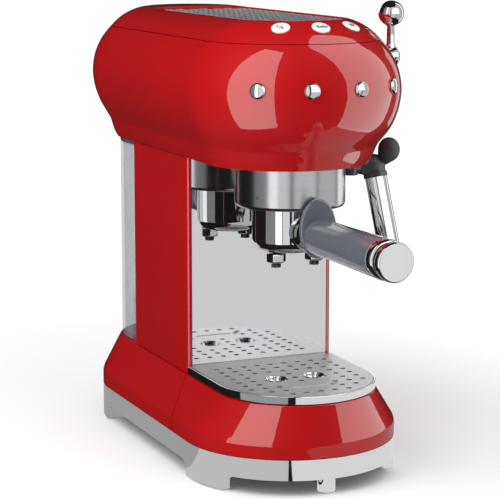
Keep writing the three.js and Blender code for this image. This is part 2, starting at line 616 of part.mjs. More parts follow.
buildFootFrame();
buildBase();
buildTray();
buildColumn();
buildTank();
buildHead();
buildGroup();
buildPump();
buildPortafilter();
buildSteam();

// The origin lies under the middle of the whole machine, on the worktop.
const extent = new THREE.Box3().setFromObject(machine);
const middle = extent.getCenter(new THREE.Vector3());
machine.position.set(-middle.x, -middle.y, 0);

const group = new THREE.Group();
group.add(machine);
export default group;
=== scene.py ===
"""Finished pieces and studio for the espresso machine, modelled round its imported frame."""

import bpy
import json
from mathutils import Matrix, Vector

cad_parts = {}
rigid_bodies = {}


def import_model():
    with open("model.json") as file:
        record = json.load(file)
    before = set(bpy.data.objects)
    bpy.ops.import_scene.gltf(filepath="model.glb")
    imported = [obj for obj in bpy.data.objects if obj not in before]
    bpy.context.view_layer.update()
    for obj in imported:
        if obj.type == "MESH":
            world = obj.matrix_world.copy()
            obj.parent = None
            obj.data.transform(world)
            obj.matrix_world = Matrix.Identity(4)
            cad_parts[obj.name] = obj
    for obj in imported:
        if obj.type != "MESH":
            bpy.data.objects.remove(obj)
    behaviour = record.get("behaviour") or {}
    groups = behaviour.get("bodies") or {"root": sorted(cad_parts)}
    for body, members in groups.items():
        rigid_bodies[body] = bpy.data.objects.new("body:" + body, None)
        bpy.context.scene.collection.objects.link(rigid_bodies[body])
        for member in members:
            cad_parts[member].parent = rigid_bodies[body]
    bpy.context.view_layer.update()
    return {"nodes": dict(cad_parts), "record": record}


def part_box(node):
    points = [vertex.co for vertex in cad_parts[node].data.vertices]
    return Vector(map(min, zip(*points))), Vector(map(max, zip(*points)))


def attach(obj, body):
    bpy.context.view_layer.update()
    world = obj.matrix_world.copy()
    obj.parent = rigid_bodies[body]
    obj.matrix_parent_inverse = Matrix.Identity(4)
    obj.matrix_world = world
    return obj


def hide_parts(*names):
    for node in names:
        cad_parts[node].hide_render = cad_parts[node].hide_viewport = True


bl_info = {
    "name": "Espresso Machine Pieces",
    "version": (1, 0, 0),
    "blender": (4, 5, 0),
    "location": "View3D > Sidebar > Espresso",
    "description": "Models the visible pieces of a rounded pump espresso machine and its studio",
    "category": "Add Mesh",
}

import json
import math

import bmesh
import bpy
from bpy.props import FloatProperty, FloatVectorProperty, IntProperty
from mathutils import Matrix, Vector

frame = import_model()
MM = 0.001

# Machine coordinates are millimetres: X from the centre plane, Y from the column's front face
# and Z from the worktop.
PANEL_LOW, PANEL_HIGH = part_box("column_front_panel")
ORIGIN = Vector(((PANEL_LOW.x + PANEL_HIGH.x) / 2, PANEL_LOW.y, 0))


def mm(value):
    """A frame length in millimetres."""
    return value / MM


def at(x, y, z):
    """A point given in machine coordinates, in the frame."""
    return ORIGIN + Vector((x, y, z)) * MM


def local(point):
    """A frame point in machine coordinates."""
    return (point - ORIGIN) / MM


def middle_of(node):
    """The centre of a frame node's box, in machine coordinates."""
    low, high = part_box(node)
    return local((low + high) / 2)


# -------------------- settings
def size(name, description, default):
    """A length setting in millimetres."""
    return FloatProperty(name=name, description=description, default=default, min=0, precision=2)


def tint(name, description, default):
    """A colour setting."""
    return FloatVectorProperty(name=name, description=description, default=default,
                               subtype="COLOR", size=3, min=0, max=1)


class EspressoHeadSettings(bpy.types.PropertyGroup):
    """Sizes of the head and what is set in it."""

    wall: size("Wall", "Thickness of the enamelled shells", 2.6)
    edge: size("Edge", "Rounding of the pressed edges", 0.5)
    louvre_pitch: size("Louvre pitch", "Distance between neighbouring louvres of the cup rest", 9.6)
    louvre_rise: size("Louvre rise", "Height of a louvre above the cup rest", 1.6)
    steps: IntProperty(name="Steps", description="Facets round a capsule outline", default=96, min=24)


class EspressoBaseSettings(bpy.types.PropertyGroup):
    """Sizes of the base, its foot frame and the drip tray."""

    crease_radius: size("Crease radius", "Rounding where the base starts to lean in", 2.4)
    arch_radius: size("Arch radius", "Fillet where a leg meets the band", 8.0)
    hole_pitch: size("Hole pitch", "Distance between the holes of the drip tray", 10.3)
    hole_radius: size("Hole radius", "Radius of a drain hole", 2.0)
    dish_radius: size("Dish radius", "Radius of the two dishes under the spouts", 8.5)


class EspressoGroupSettings(bpy.types.PropertyGroup):
    """Sizes of the brewing group and the portafilter."""

    collar_radius: size("Collar radius", "Outer radius of the group collar", 37.5)
    cup_radius: size("Cup radius", "Outer radius of the portafilter cup", 25.6)
    cup_corner: size("Cup corner", "Rounding of the cup's lower corner", 8.0)
    steps: IntProperty(name="Steps", description="Facets round a turned piece", default=64, min=16)


class EspressoColourSettings(bpy.types.PropertyGroup):
    """Colours of the finishes."""

    enamel: tint("Enamel", "High-gloss enamel of the shells", (0.40, 0.0009, 0.0022))
    chrome: tint("Chrome", "Mirror-polished plating", (0.86, 0.86, 0.87))
    steel: tint("Steel", "Brushed stainless steel", (0.72, 0.725, 0.74))
    mirror: tint("Mirror steel", "Polished stainless sheet", (0.80, 0.80, 0.81))
    grey: tint("Grey plastic", "Grey mouldings of the handle and tank lid", (0.105, 0.118, 0.138))
    clear: tint("Clear plastic", "Water tank", (0.93, 0.955, 0.97))


def settings(name):
    """One of the scene's setting groups."""
    return getattr(bpy.context.scene, "espresso_" + name)


# -------------------- modelling by hand
def object_mode():
    """Leaves edit mode with nothing selected."""
    if bpy.context.mode != "OBJECT":
        bpy.ops.object.mode_set(mode="OBJECT")
    bpy.ops.object.select_all(action="DESELECT")


def take(piece):
    """Makes a piece the only one selected."""
    object_mode()
    piece.select_set(True)
    bpy.context.view_layer.objects.active = piece
    return piece


def edit(piece):
    """Opens a piece in edit mode."""
    take(piece)
    bpy.ops.object.mode_set(mode="EDIT")


def edit_all(piece):
    """Opens a piece in edit mode with all of it selected."""
    edit(piece)
    bpy.ops.mesh.select_all(action="SELECT")


def pick(test, kind="verts"):
    """Selects the vertices, edges or faces of the edited mesh that pass a test."""
    bpy.ops.mesh.select_mode(type=kind.upper().rstrip("S"))
    bpy.ops.mesh.select_all(action="DESELECT")
    mesh = bmesh.from_edit_mesh(bpy.context.edit_object.data)
    chosen = [part for part in getattr(mesh, kind) if test(part)]
    for part in chosen:
        part.select_set(True)
    mesh.select_flush_mode()
    bmesh.update_edit_mesh(bpy.context.edit_object.data)
    return len(chosen)


def new_piece(name):
    """Names the primitive that was just added and applies its place."""
    piece = bpy.context.active_object
    piece.name = name
    piece.data.name = name
    bpy.ops.object.transform_apply(location=True, rotation=True, scale=True)
    return piece


def primitive(kind, name, **values):
    """Adds a primitive with nothing else selected, and names it."""
    object_mode()
    getattr(bpy.ops.mesh, f"primitive_{kind}_add")(**values)
    return new_piece(name)


def block(name, low, high):
    """A box between two corners in machine coordinates."""
    low, high = at(*low), at(*high)
    return primitive("cube", name, size=1, location=(low + high) / 2, scale=high - low)


def outward():
    """Merges doubles and turns the faces of the edited mesh outwards."""
    bpy.ops.mesh.select_all(action="SELECT")
    bpy.ops.mesh.remove_doubles(threshold=1e-6)
    bpy.ops.mesh.normals_make_consistent(inside=False)


def capsule(name, sections, closed=True):
    """A body of capsule sections: height, half width, centres of the front and rear half circles."""
    steps = settings("head").steps
    z, radius, front, rear = sections[0]
    piece = primitive("circle", name, vertices=steps, radius=radius * MM, location=at(0, 0, z),
                      rotation=(0, 0, math.pi / steps), fill_type="NGON" if closed else "NOTHING")
    edit(piece)
    ahead = {v.index for v in bmesh.from_edit_mesh(piece.data).verts if v.co.y < ORIGIN.y}
    for centre, in_front in ((front, True), (rear, False)):
        pick(lambda v: (v.index in ahead) == in_front)
        bpy.ops.transform.translate(value=(0, centre * MM, 0))
    for z1, radius1, front1, rear1 in sections[1:]:
        middle = at(0, (front + rear) / 2, 0).y
        newest = len(bmesh.from_edit_mesh(piece.data).verts)
        pick(lambda v: v.index >= newest - steps)
        bpy.ops.mesh.extrude_edges_move(TRANSFORM_OT_translate={"value": (0, 0, z1 * MM - z * MM)})
        for old, new, side in ((front, front1, -1), (rear, rear1, 1)):
            pick(lambda v: v.index >= newest and (v.co.y - middle) * side > 0)
            bpy.ops.transform.resize(value=(radius1 / radius, radius1 / radius, 1),
                                     center_override=at(0, old, z1))
            bpy.ops.transform.translate(value=(0, (new - old) * MM, 0))
        z, radius, front, rear = z1, radius1, front1, rear1
    if closed:
        newest = len(bmesh.from_edit_mesh(piece.data).verts)
        pick(lambda v: v.index >= newest - steps)
        bpy.ops.mesh.edge_face_add()
    outward()
    object_mode()
    return piece


def slice_off(piece, point, normal):
    """Cuts away what lies beyond a plane."""
    edit_all(piece)
    bpy.ops.mesh.bisect(plane_co=at(*point), plane_no=normal, use_fill=True, clear_outer=True)
    object_mode()
    return piece


def upright(name, low, high, *outline):
    """A closed body with one capsule outline from its lowest to its highest height."""
    return capsule(name, [(low, *outline), (high, *outline)])


def tongue(name, low, high, radius, front, back):
    """A closed upright body that is round in front and flat behind."""
    piece = upright(name, low, high, radius, front, back + 0.01)
    return slice_off(piece, (0, back, 0), (0, 1, 0))


def round_edges(piece, test, radius, segments=4):
    """Rounds the edges that pass a test on their two ends, in machine coordinates."""
    edit(piece)
    if pick(lambda e: test(*(local(v.co) for v in e.verts)), "edges"):
        bpy.ops.mesh.bevel(offset=radius * MM, segments=segments, affect="EDGES", clamp_overlap=True)
    object_mode()
    return piece


def apply_modifier(piece, kind, **values):
    """Adds a modifier to a piece and applies it."""
    take(piece)
    bpy.ops.object.modifier_add(type=kind)
    modifier = piece.modifiers[-1]
    for key, value in values.items():
        setattr(modifier, key, value)
    bpy.ops.object.modifier_apply(modifier=modifier.name)
    return piece


def carve(piece, *tools, operation="DIFFERENCE"):
    """Cuts, joins or intersects a piece with tools, which are used up."""
    for tool in tools:
        apply_modifier(piece, "BOOLEAN", operation=operation, object=tool, solver="EXACT")
        bpy.data.meshes.remove(tool.data)
    return piece


def copy_of(piece, name):
    """A copy with a mesh of its own."""
    twin = piece.copy()
    twin.data = piece.data.copy()
    twin.name = name
    twin.data.name = name
    bpy.context.collection.objects.link(twin)
    return twin


def join(name, pieces):
    """Joins pieces into one."""
    object_mode()
    for piece in pieces:
        piece.select_set(True)
    bpy.context.view_layer.objects.active = pieces[0]
    bpy.ops.object.join()
    pieces[0].name = name
    pieces[0].data.name = name
    return pieces[0]


def repeat(name, piece, moves):
    """Copies a piece to each move, in millimetres, and joins the copies."""
    twins = []
    for i, move in enumerate(moves):
        twin = copy_of(piece, f"{name}_{i}")
        twin.data.transform(Matrix.Translation(Vector(move) * MM))
        twins.append(twin)
    bpy.data.meshes.remove(piece.data)
    return join(name, twins)


def place(piece, point, direction=(0, 0, 1), turn=0.0):
    """Turns a piece made about the world's Z axis to a direction, and moves it to a point."""
    spin = Matrix.Rotation(math.radians(turn), 4, "Z")
    aim = Vector(direction).to_track_quat("Z", "Y").to_matrix().to_4x4()
    piece.matrix_world = Matrix.Translation(at(*point)) @ aim @ spin
    take(piece)
    bpy.ops.object.transform_apply(location=True, rotation=True, scale=True)
    return piece


def turned(name, profile, point, direction=(0, 0, 1), steps=None):
    """A profile of (radius, height) or (radius, height, rounding) spun round an axis."""
    piece = primitive("circle", name, vertices=3, radius=MM, location=(0, 0, 0))
    edit(piece)
    pick(lambda v: v.index > 0)
    bpy.ops.mesh.delete(type="VERT")
    bpy.ops.mesh.select_all(action="SELECT")
    start = Vector((profile[0][0], 0, profile[0][1])) * MM
    bpy.ops.transform.translate(value=start - bmesh.from_edit_mesh(piece.data).verts[:][0].co)
    last = start
    for corner in profile[1:]:
        here = Vector((corner[0], 0, corner[1])) * MM
        bpy.ops.mesh.extrude_vertices_move(TRANSFORM_OT_translate={"value": here - last})
        last = here
    for corner in profile:
        if len(corner) > 2:
            spot = Vector((corner[0], 0, corner[1])) * MM
            pick(lambda v: (v.co - spot).length < 1e-6)
            bpy.ops.mesh.bevel(offset=corner[2] * MM, segments=5, affect="VERTICES",
                               clamp_overlap=True)
    bpy.ops.mesh.select_all(action="SELECT")
    bpy.ops.mesh.spin(steps=steps or settings("group").steps, angle=2 * math.pi,
                      center=(0, 0, 0), axis=(0, 0, 1))
    outward()
    object_mode()
    return place(piece, point, direction)


def pin(name, radius, low, high, point, direction=(0, 0, 1), steps=None):
    """A plain round bar along an axis, mostly used as a drill."""
    return turned(name, [(0, low), (radius, low), (radius, high), (0, high)], point, direction, steps)


def eased(points, parts=3):
    """A list of tuples with a smooth curve through it."""
    rows = [points[0], *points, points[-1]]
    curve = []
    for a, b, c, d in zip(rows, rows[1:], rows[2:], rows[3:]):
        for i in range(parts):
            t = i / parts
            curve.append(tuple(
                q + 0.5 * t * (r - p + t * (2 * p - 5 * q + 4 * r - s + t * (3 * (q - r) + s - p)))
                for p, q, r, s in zip(a, b, c, d)))
    return [*curve, tuple(points[-1])]


def finish(piece, body, slot, stands_for=(), edge=0.0, angle=40, segments=2, looks=None):
    """Rounds and smooths a piece, paints it, and hands it to the frame."""
    take(piece)
    bpy.ops.object.shade_smooth_by_angle(angle=math.radians(angle))
    if edge:
        apply_modifier(piece, "BEVEL", width=edge * MM, segments=segments, limit_method="ANGLE",
                       angle_limit=math.radians(angle), use_clamp_overlap=True)
    apply_modifier(piece, "WEIGHTED_NORMAL", keep_sharp=True)
    piece.data.materials.clear()
    piece.data.materials.append(material(looks or slot))
    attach(piece, body)
    if stands_for:
        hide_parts(*stands_for)
    return piece


# -------------------- materials
class Value:
    """A number socket that can be used in Python expressions."""

    def __init__(self, shader, socket):
        self.shader = shader
        self.socket = socket

    def combine(self, operation, first, second):
        """A Math node on two sockets or numbers."""
        return self.shader.node("ShaderNodeMath", {"operation": operation}, {0: first, 1: second})

    def __add__(self, other):
        return self.combine("ADD", self, other)

    def __sub__(self, other):
        return self.combine("SUBTRACT", self, other)

    def __mul__(self, other):
        return self.combine("MULTIPLY", self, other)

    def __rsub__(self, other):
        return self.combine("SUBTRACT", other, self)

    __radd__ = __add__
    __rmul__ = __mul__


class Shader:
    """A material's node tree with its Principled shader."""

    def __init__(self, name, **constants):
        self.material = bpy.data.materials.new(name)
        self.material.use_nodes = True
        self.tree = self.material.node_tree
        self.surface = self.tree.nodes["Principled BSDF"]
        for key, value in constants.items():
            self.surface.inputs[key.replace("_", " ")].default_value = value

    def node(self, kind, options=(), inputs=(), output=0):
        """Adds a node with its settings and inputs, and returns one output as a Value."""
        made = self.tree.nodes.new(kind)
        for key, value in dict(options).items():
            setattr(made, key, value)
        for key, value in dict(inputs).items():
            if isinstance(value, Value):
                self.tree.links.new(value.socket, made.inputs[key])
            else:
                made.inputs[key].default_value = value
        return Value(self, made.outputs[output])

    def feed(self, name, value):
        """Links a value to one of the shader's own sockets."""
        self.tree.links.new(value.socket, self.surface.inputs[name])

    def place(self, scale=(1, 1, 1)):
        """Object coordinates, stretched."""
        where = self.node("ShaderNodeTexCoord", output="Object")
        return self.node("ShaderNodeMapping", inputs={"Vector": where, "Scale": scale})

    def noise(self, scale, stretch=(1, 1, 1), detail=3.0):
        """A noise value between about 0.3 and 0.7."""
        return self.node("ShaderNodeTexNoise", inputs={
            "Vector": self.place(stretch), "Scale": scale, "Detail": detail})

    def blend(self, factor, low, high):
        """A colour between two."""
        made = self.node("ShaderNodeMix", {"data_type": "RGBA"}, output=2)
        mix = made.socket.node
        self.tree.links.new(factor.socket, mix.inputs[0])
        mix.inputs[6].default_value = (*low, 1)
        mix.inputs[7].default_value = (*high, 1)
        return made

    def colour(self, factor, colour, low, high):
        """A base colour that wanders between a darker and a lighter tone."""
        self.feed("Base Color", self.blend(factor, shaded(colour, low), shaded(colour, high)))

    def bump(self, height, distance, strength=1.0):
        """Relief from a height value, with its depth in millimetres."""
        self.feed("Normal", self.node("ShaderNodeBump", inputs={
            "Height": height, "Distance": distance * MM, "Strength": strength}))


def shaded(colour, factor):
    """A colour made lighter or darker."""
    return tuple(min(1.0, part * factor) for part in colour)


def red_enamel():
    """Deep gloss enamel with a faint orange peel."""
    shader = Shader("red_enamel", IOR=1.2, Coat_Weight=1.0, Coat_Roughness=0.015, Coat_IOR=1.68)
    shader.colour(shader.noise(9, detail=2), settings("colours").enamel, 0.94, 1.06)
    shader.feed("Roughness", 0.36 + 0.1 * shader.noise(40))
    shader.bump(shader.noise(420, detail=1), 0.004, 0.35)
    return shader.material


def polished_chrome():
    """Mirror plate with very faint wiping marks."""
    shader = Shader("polished_chrome", Metallic=1.0)
    shader.colour(shader.noise(12), settings("colours").chrome, 0.97, 1.03)
    shader.feed("Roughness", 0.02 + 0.06 * shader.noise(55))
    return shader.material


def brushed(name, colour, rough, stretch, depth):
    """Steel with fine grooves along the axes that are stretched least."""
    shader = Shader(name, Metallic=1.0)
    grain = shader.noise(700, stretch, detail=4)
    patch = shader.noise(14, detail=2)
    shader.colour(grain, colour, 0.93, 1.06)
    shader.feed("Roughness", rough + 0.1 * grain + 0.04 * patch)
    shader.bump(grain, depth, 0.6)
    return shader.material


def brushed_steel():
    """Plate brushed from side to side."""
    return brushed("brushed_steel", settings("colours").steel, 0.38, (0.05, 1, 1), 0.003)


def shaded_steel():
    """Plate under the louvres, with the louvres' shade painted in as a darker steel colour."""
    return brushed("shaded_steel", (0.3, 0.3, 0.305), 0.5, (0.05, 1, 1), 0.003)


def turned_steel():
    """Steel brushed round an upright axis."""
    return brushed("turned_steel", settings("colours").steel, 0.16, (0.06, 0.06, 1), 0.002)


def mirror_steel():
    """Polished sheet, nearly a mirror."""
    shader = Shader("mirror_steel", Metallic=1.0)
    shader.colour(shader.noise(10), settings("colours").mirror, 0.98, 1.02)
    shader.feed("Roughness", 0.015 + 0.03 * shader.noise(60, (1, 1, 0.2)))
    return shader.material


def moulded(name, colour, rough, coat=0.0, depth=0.01, grain=900):
    """Moulded plastic or rubber with a fine grain."""
    shader = Shader(name, Coat_Weight=coat, Coat_Roughness=0.08)
    shader.colour(shader.noise(25), colour, 0.92, 1.08)
    texture = shader.noise(grain, detail=2)
    shader.feed("Roughness", rough + 0.08 * texture)
    shader.bump(texture, depth, 0.5)
    return shader.material


def grey_plastic():
    """Satin grey moulding of the handle and the tank's lid."""
    return moulded("grey_plastic", settings("colours").grey, 0.22, 1.0, 0.004)


# Colour, roughness, clear coat, depth of the grain in millimetres and its scale.
MOULDINGS = {
    "black_plastic": ((0.012, 0.012, 0.013), 0.34),
    "dark_moulding": ((0.036, 0.038, 0.045), 0.36, 0.2, 0.006),
    "dark_rubber": ((0.034, 0.036, 0.042), 0.55, 0.0, 0.02),
    "white_plastic": ((0.88, 0.88, 0.87), 0.25, 0.4, 0.004),
    "icon_grey": ((0.05, 0.052, 0.056), 0.4, 0.0, 0.002),
    "silicone_hose": ((0.72, 0.74, 0.74), 0.35, 0.0, 0.02, 200),
}


def clear_plastic():
    """Clear tank plastic, faintly uneven."""
    shader = Shader("clear_plastic", Alpha=0.3, Coat_Weight=0.6, Coat_Roughness=0.03)
    shader.colour(shader.noise(8), settings("colours").clear, 0.40, 0.46)
    shader.feed("Roughness", 0.04 + 0.06 * shader.noise(30))
    return shader.material


def cast_aluminium():
    """Sand-cast aluminium."""
    shader = Shader("cast_aluminium", Metallic=1.0)
    grain = shader.noise(500, detail=5)
    shader.feed("Base Color", shader.blend(grain, (0.36, 0.36, 0.37), (0.56, 0.56, 0.57)))
    shader.feed("Roughness", 0.35 + 0.25 * grain)
    shader.bump(grain, 0.06)
    return shader.material


def brass():
    """Machined brass with faint tool marks."""
    shader = Shader("brass", Metallic=1.0)
    marks = shader.noise(300, (8, 1, 1))
    shader.feed("Base Color", shader.blend(marks, (0.48, 0.33, 0.12), (0.66, 0.47, 0.19)))
    shader.feed("Roughness", 0.2 + 0.2 * marks)
    shader.bump(marks, 0.01)
    return shader.material


def circuit_board():
    """Green solder mask with paler tracks."""
    shader = Shader("circuit_board", Coat_Weight=0.4)
    tracks = shader.node("ShaderNodeTexBrick", {"offset": 0.5}, {
        "Vector": shader.place(), "Scale": 240.0, "Mortar Size": 0.05}, output="Fac")
    shader.feed("Base Color", shader.blend(tracks, (0.01, 0.09, 0.04), (0.03, 0.2, 0.09)))
    shader.feed("Roughness", 0.35 + 0.2 * tracks)
    shader.bump(tracks, 0.03)
    return shader.material


MAKERS = {maker.__name__: maker for maker in (
    red_enamel, polished_chrome, brushed_steel, shaded_steel, turned_steel, mirror_steel,
    grey_plastic, clear_plastic, cast_aluminium, brass, circuit_board)}


def material(name):
    """The named finish, made when it is first used."""
    made = bpy.data.materials.get(name + ".finish")
    if not made:
        made = MAKERS[name]() if name in MAKERS else moulded(name, *MOULDINGS[name])
        made.name = name + ".finish"
    return made


# -------------------- the machine's outlines, in millimetres
HEAD_FRONT, HEAD_REAR = -50, 129
HEAD_SECTIONS = [
    (212.5, 55.5, -44.2, 131), (217, 57.8, -44.4, 131), (222, 59.6, -45, 130.5), (226, 61, -46, 130),
    (232, 64.6, -48.6, 129.5), *((z, half_width, HEAD_FRONT, HEAD_REAR) for z, half_width in (
        (239, 68.6), (247, 71.8), (255, 73.6), (262, 74.2), (270, 73.4), (277, 71.6), (284, 68.4),
        (290, 64.4), (294.8, 60.2)))]
LID_SECTIONS = [(z, half_width, HEAD_FRONT, HEAD_REAR) for z, half_width in (
    (295.2, 59.8), (299, 56.1), (302.5, 51.8), (305.5, 46.6), (307.6, 41.6), (308.9, 36.5),
    (309.6, 30), (309.8, 22), (309.85, 12))]
BASE_WIDE = (73.5, -47, 116)
BASE_TOP = (55.5, -58, 129)
BASE_BOTTOM_Z = mm(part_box("base_front_shell")[0].z)
BASE_TOP_Z = mm(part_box("base_rear_shell")[1].z)
CREASE_Z = 35.8
FRAME_LOW_Z = mm(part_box("foot_frame")[0].z)
FRAME_TOP_Z = mm(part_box("foot_frame")[1].z)
ARCH_Z = 11.3
FOOT_TOP_Z = 12.7
LEG_DEPTH = 15.5
POST_Y = -110
# The stretches in front of, between and behind the legs.
LEG_GAPS = ((-200, -83), (-42, 120), (153, 260))
SEAM_Y = 2
TRAY_WELL_RADIUS = 52
TRAY_LINE_Y = -86
OUTLET_Z = 74
GLAND_Z = 31
TRAY_FRONT = -58
TRAY_BACK = local(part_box("drip_tray_rim")[1]).y
TRAY_RADIUS = mm(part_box("drip_tray_rim")[1].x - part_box("drip_tray_rim")[0].x) / 2
RIM_LOW_Z, RIM_TOP_Z = (mm(corner.z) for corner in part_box("drip_tray_rim"))
GRID_LOW_Z, GRID_TOP_Z = (mm(corner.z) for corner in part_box("drip_tray_grid"))
REST_LOW_Z, REST_TOP_Z = (mm(corner.z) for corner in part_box("cup_grille"))
REST_RADIUS = mm(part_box("cup_grille")[1].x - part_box("cup_grille")[0].x) / 2
REST_BACK = local(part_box("cup_grille")[1]).y
BUTTON_TURNS = (-32, 0, 32)
BUTTON_TILT = 25.6
BUTTON_REACH, BUTTON_Z = 47.5, 305
ICON_Z, ICON_DEPTH = 0.72, 0.34
BUTTON_BODIES = ("left_button", "middle_button", "right_button")
STUD_TURNS = (-40.5, -13.5, 13.5, 40.5)
STUD_REACH, STUD_Z = 73.2, 266.5
GROUP_Y = middle_of("group_collar").y
LOCK_MARK_Z = 192.3
SPOUT_X = middle_of("spout_nut_right").x
SPOUT_Y = middle_of("spout_nut_right").y
HANDLE_TURN = 1
HANDLE_Z = middle_of("handle_grip").z
LEVER = Vector((*middle_of("lever_ball").xy, 281))
WAND_PIVOT = Vector((64.6, -47, 206.5))
WAND_WAY = Vector((4, -9, -38.4)).normalized()


def outward_way(turn):
    """A level direction, in degrees to the right of straight ahead."""
    angle = math.radians(turn)
    return Vector((math.sin(angle), -math.cos(angle), 0))


def button_place(turn):
    """A button's centre and outward direction."""
    tilt = math.radians(BUTTON_TILT)
    out = outward_way(turn)
    point = Vector((0, HEAD_FRONT, BUTTON_Z)) + out * BUTTON_REACH
    return point, out * math.sin(tilt) + Vector((0, 0, math.cos(tilt)))


def rest_outline(name, low, high, gap):
    """The cup rest's outline, with a gap round it."""
    body = tongue(name, low, high, REST_RADIUS + gap, HEAD_FRONT, REST_BACK + gap)
    return round_edges(body, lambda a, b: min(a.y, b.y) > 100 and abs(a.z - b.z) > 0.5, 6, 6)


# -------------------- the stage, in millimetres and degrees
CAMERA_PLACE, CAMERA_PITCH, CAMERA_TURN, CAMERA_LENS = (-526.6, -1205.5, 374.7), 9.93, 23.29, 136.94
METALS = {"polished_chrome", "brushed_steel", "shaded_steel", "turned_steel", "mirror_steel",
          "cast_aluminium", "brass"}
# Brightness of the room to light that scatters, to reflections, through glass and to the camera.
ROOM = ((None, 0.77), ("Is Glossy Ray", 0.014), ("Is Transmission Ray", 0.9), ("Is Camera Ray", 1.05))
PAPER, DARK_WORKTOP = 1.06, 0.012
# Name, family that reflects it, turn from straight ahead, distance, low and high edge, width
# and radiance.
STANDING_CARDS = (
    ("left_softbox", "gloss", -61, 270, 0, 1000, 225, 2.2),
    ("right_softbox", "gloss", 61, 280, 0, 1400, 345, 1.9),
    ("side_strip", "gloss", 116, 420, 100, 400, 90, 0.9),
    ("left_card", "metal", -84, 400, 0, 900, 225, 0.22),
    ("bright_card", "metal", -57, 400, 0, 900, 150, 1.15),
    ("front_left_card", "metal", -34.5, 420, 0, 900, 150, 0.72),
    ("front_card", "metal", 6, 420, 0, 900, 370, 0.58),
    ("right_card", "metal", 58, 420, 0, 900, 370, 0.5),
    ("side_card", "metal", 98, 420, 0, 900, 150, 1.1),
    ("back_card", "metal", 170, 700, 0, 700, 900, 1.1),
    ("high_card", "any_metal", 20, 700, 260, 900, 900, 1.1),
)
# Cards on the worktop either side of a dark gap: distances along and across the gap, extent
# and radiance.
GAP_TURN = -22
CARD_Z = 0.4
FOOT_CARDS = (
    ("floor_right", "bright", 60, 178, (350, 980), 0.74),
    ("floor_left", "foot", -210, -178, (350, 440), 0.36),
    ("floor_front_left", "foot", 280, -178, (350, 540), 0.56),
    ("floor_rim", "rim", 317, -223, (350, 475), 0.32),
)
# Other cards on the worktop: X, Y, turn, extent, radiance.
FLOOR_CARDS = (
    ("floor_ahead", "sheet", 390, -880, 24, (620, 1700), 0.72),
    ("floor_side", "gloss", 165, -155, 57, (330, 240), 0.38),
)
# Lights that aren't reflected: middle, direction they come from, extent, radiance.
FILLS = (
    ("left_fill", (-460, -140, 550), (-1, -0.28, 0.75), (600, 600), 2.25),
    ("right_fill", (380, -420, 560), (0.8, -0.8, 0.8), (600, 600), 0.4),
    ("top_fill", (-150, -350, 1100), (-0.15, -0.3, 1), (1200, 1000), 0.9),
)


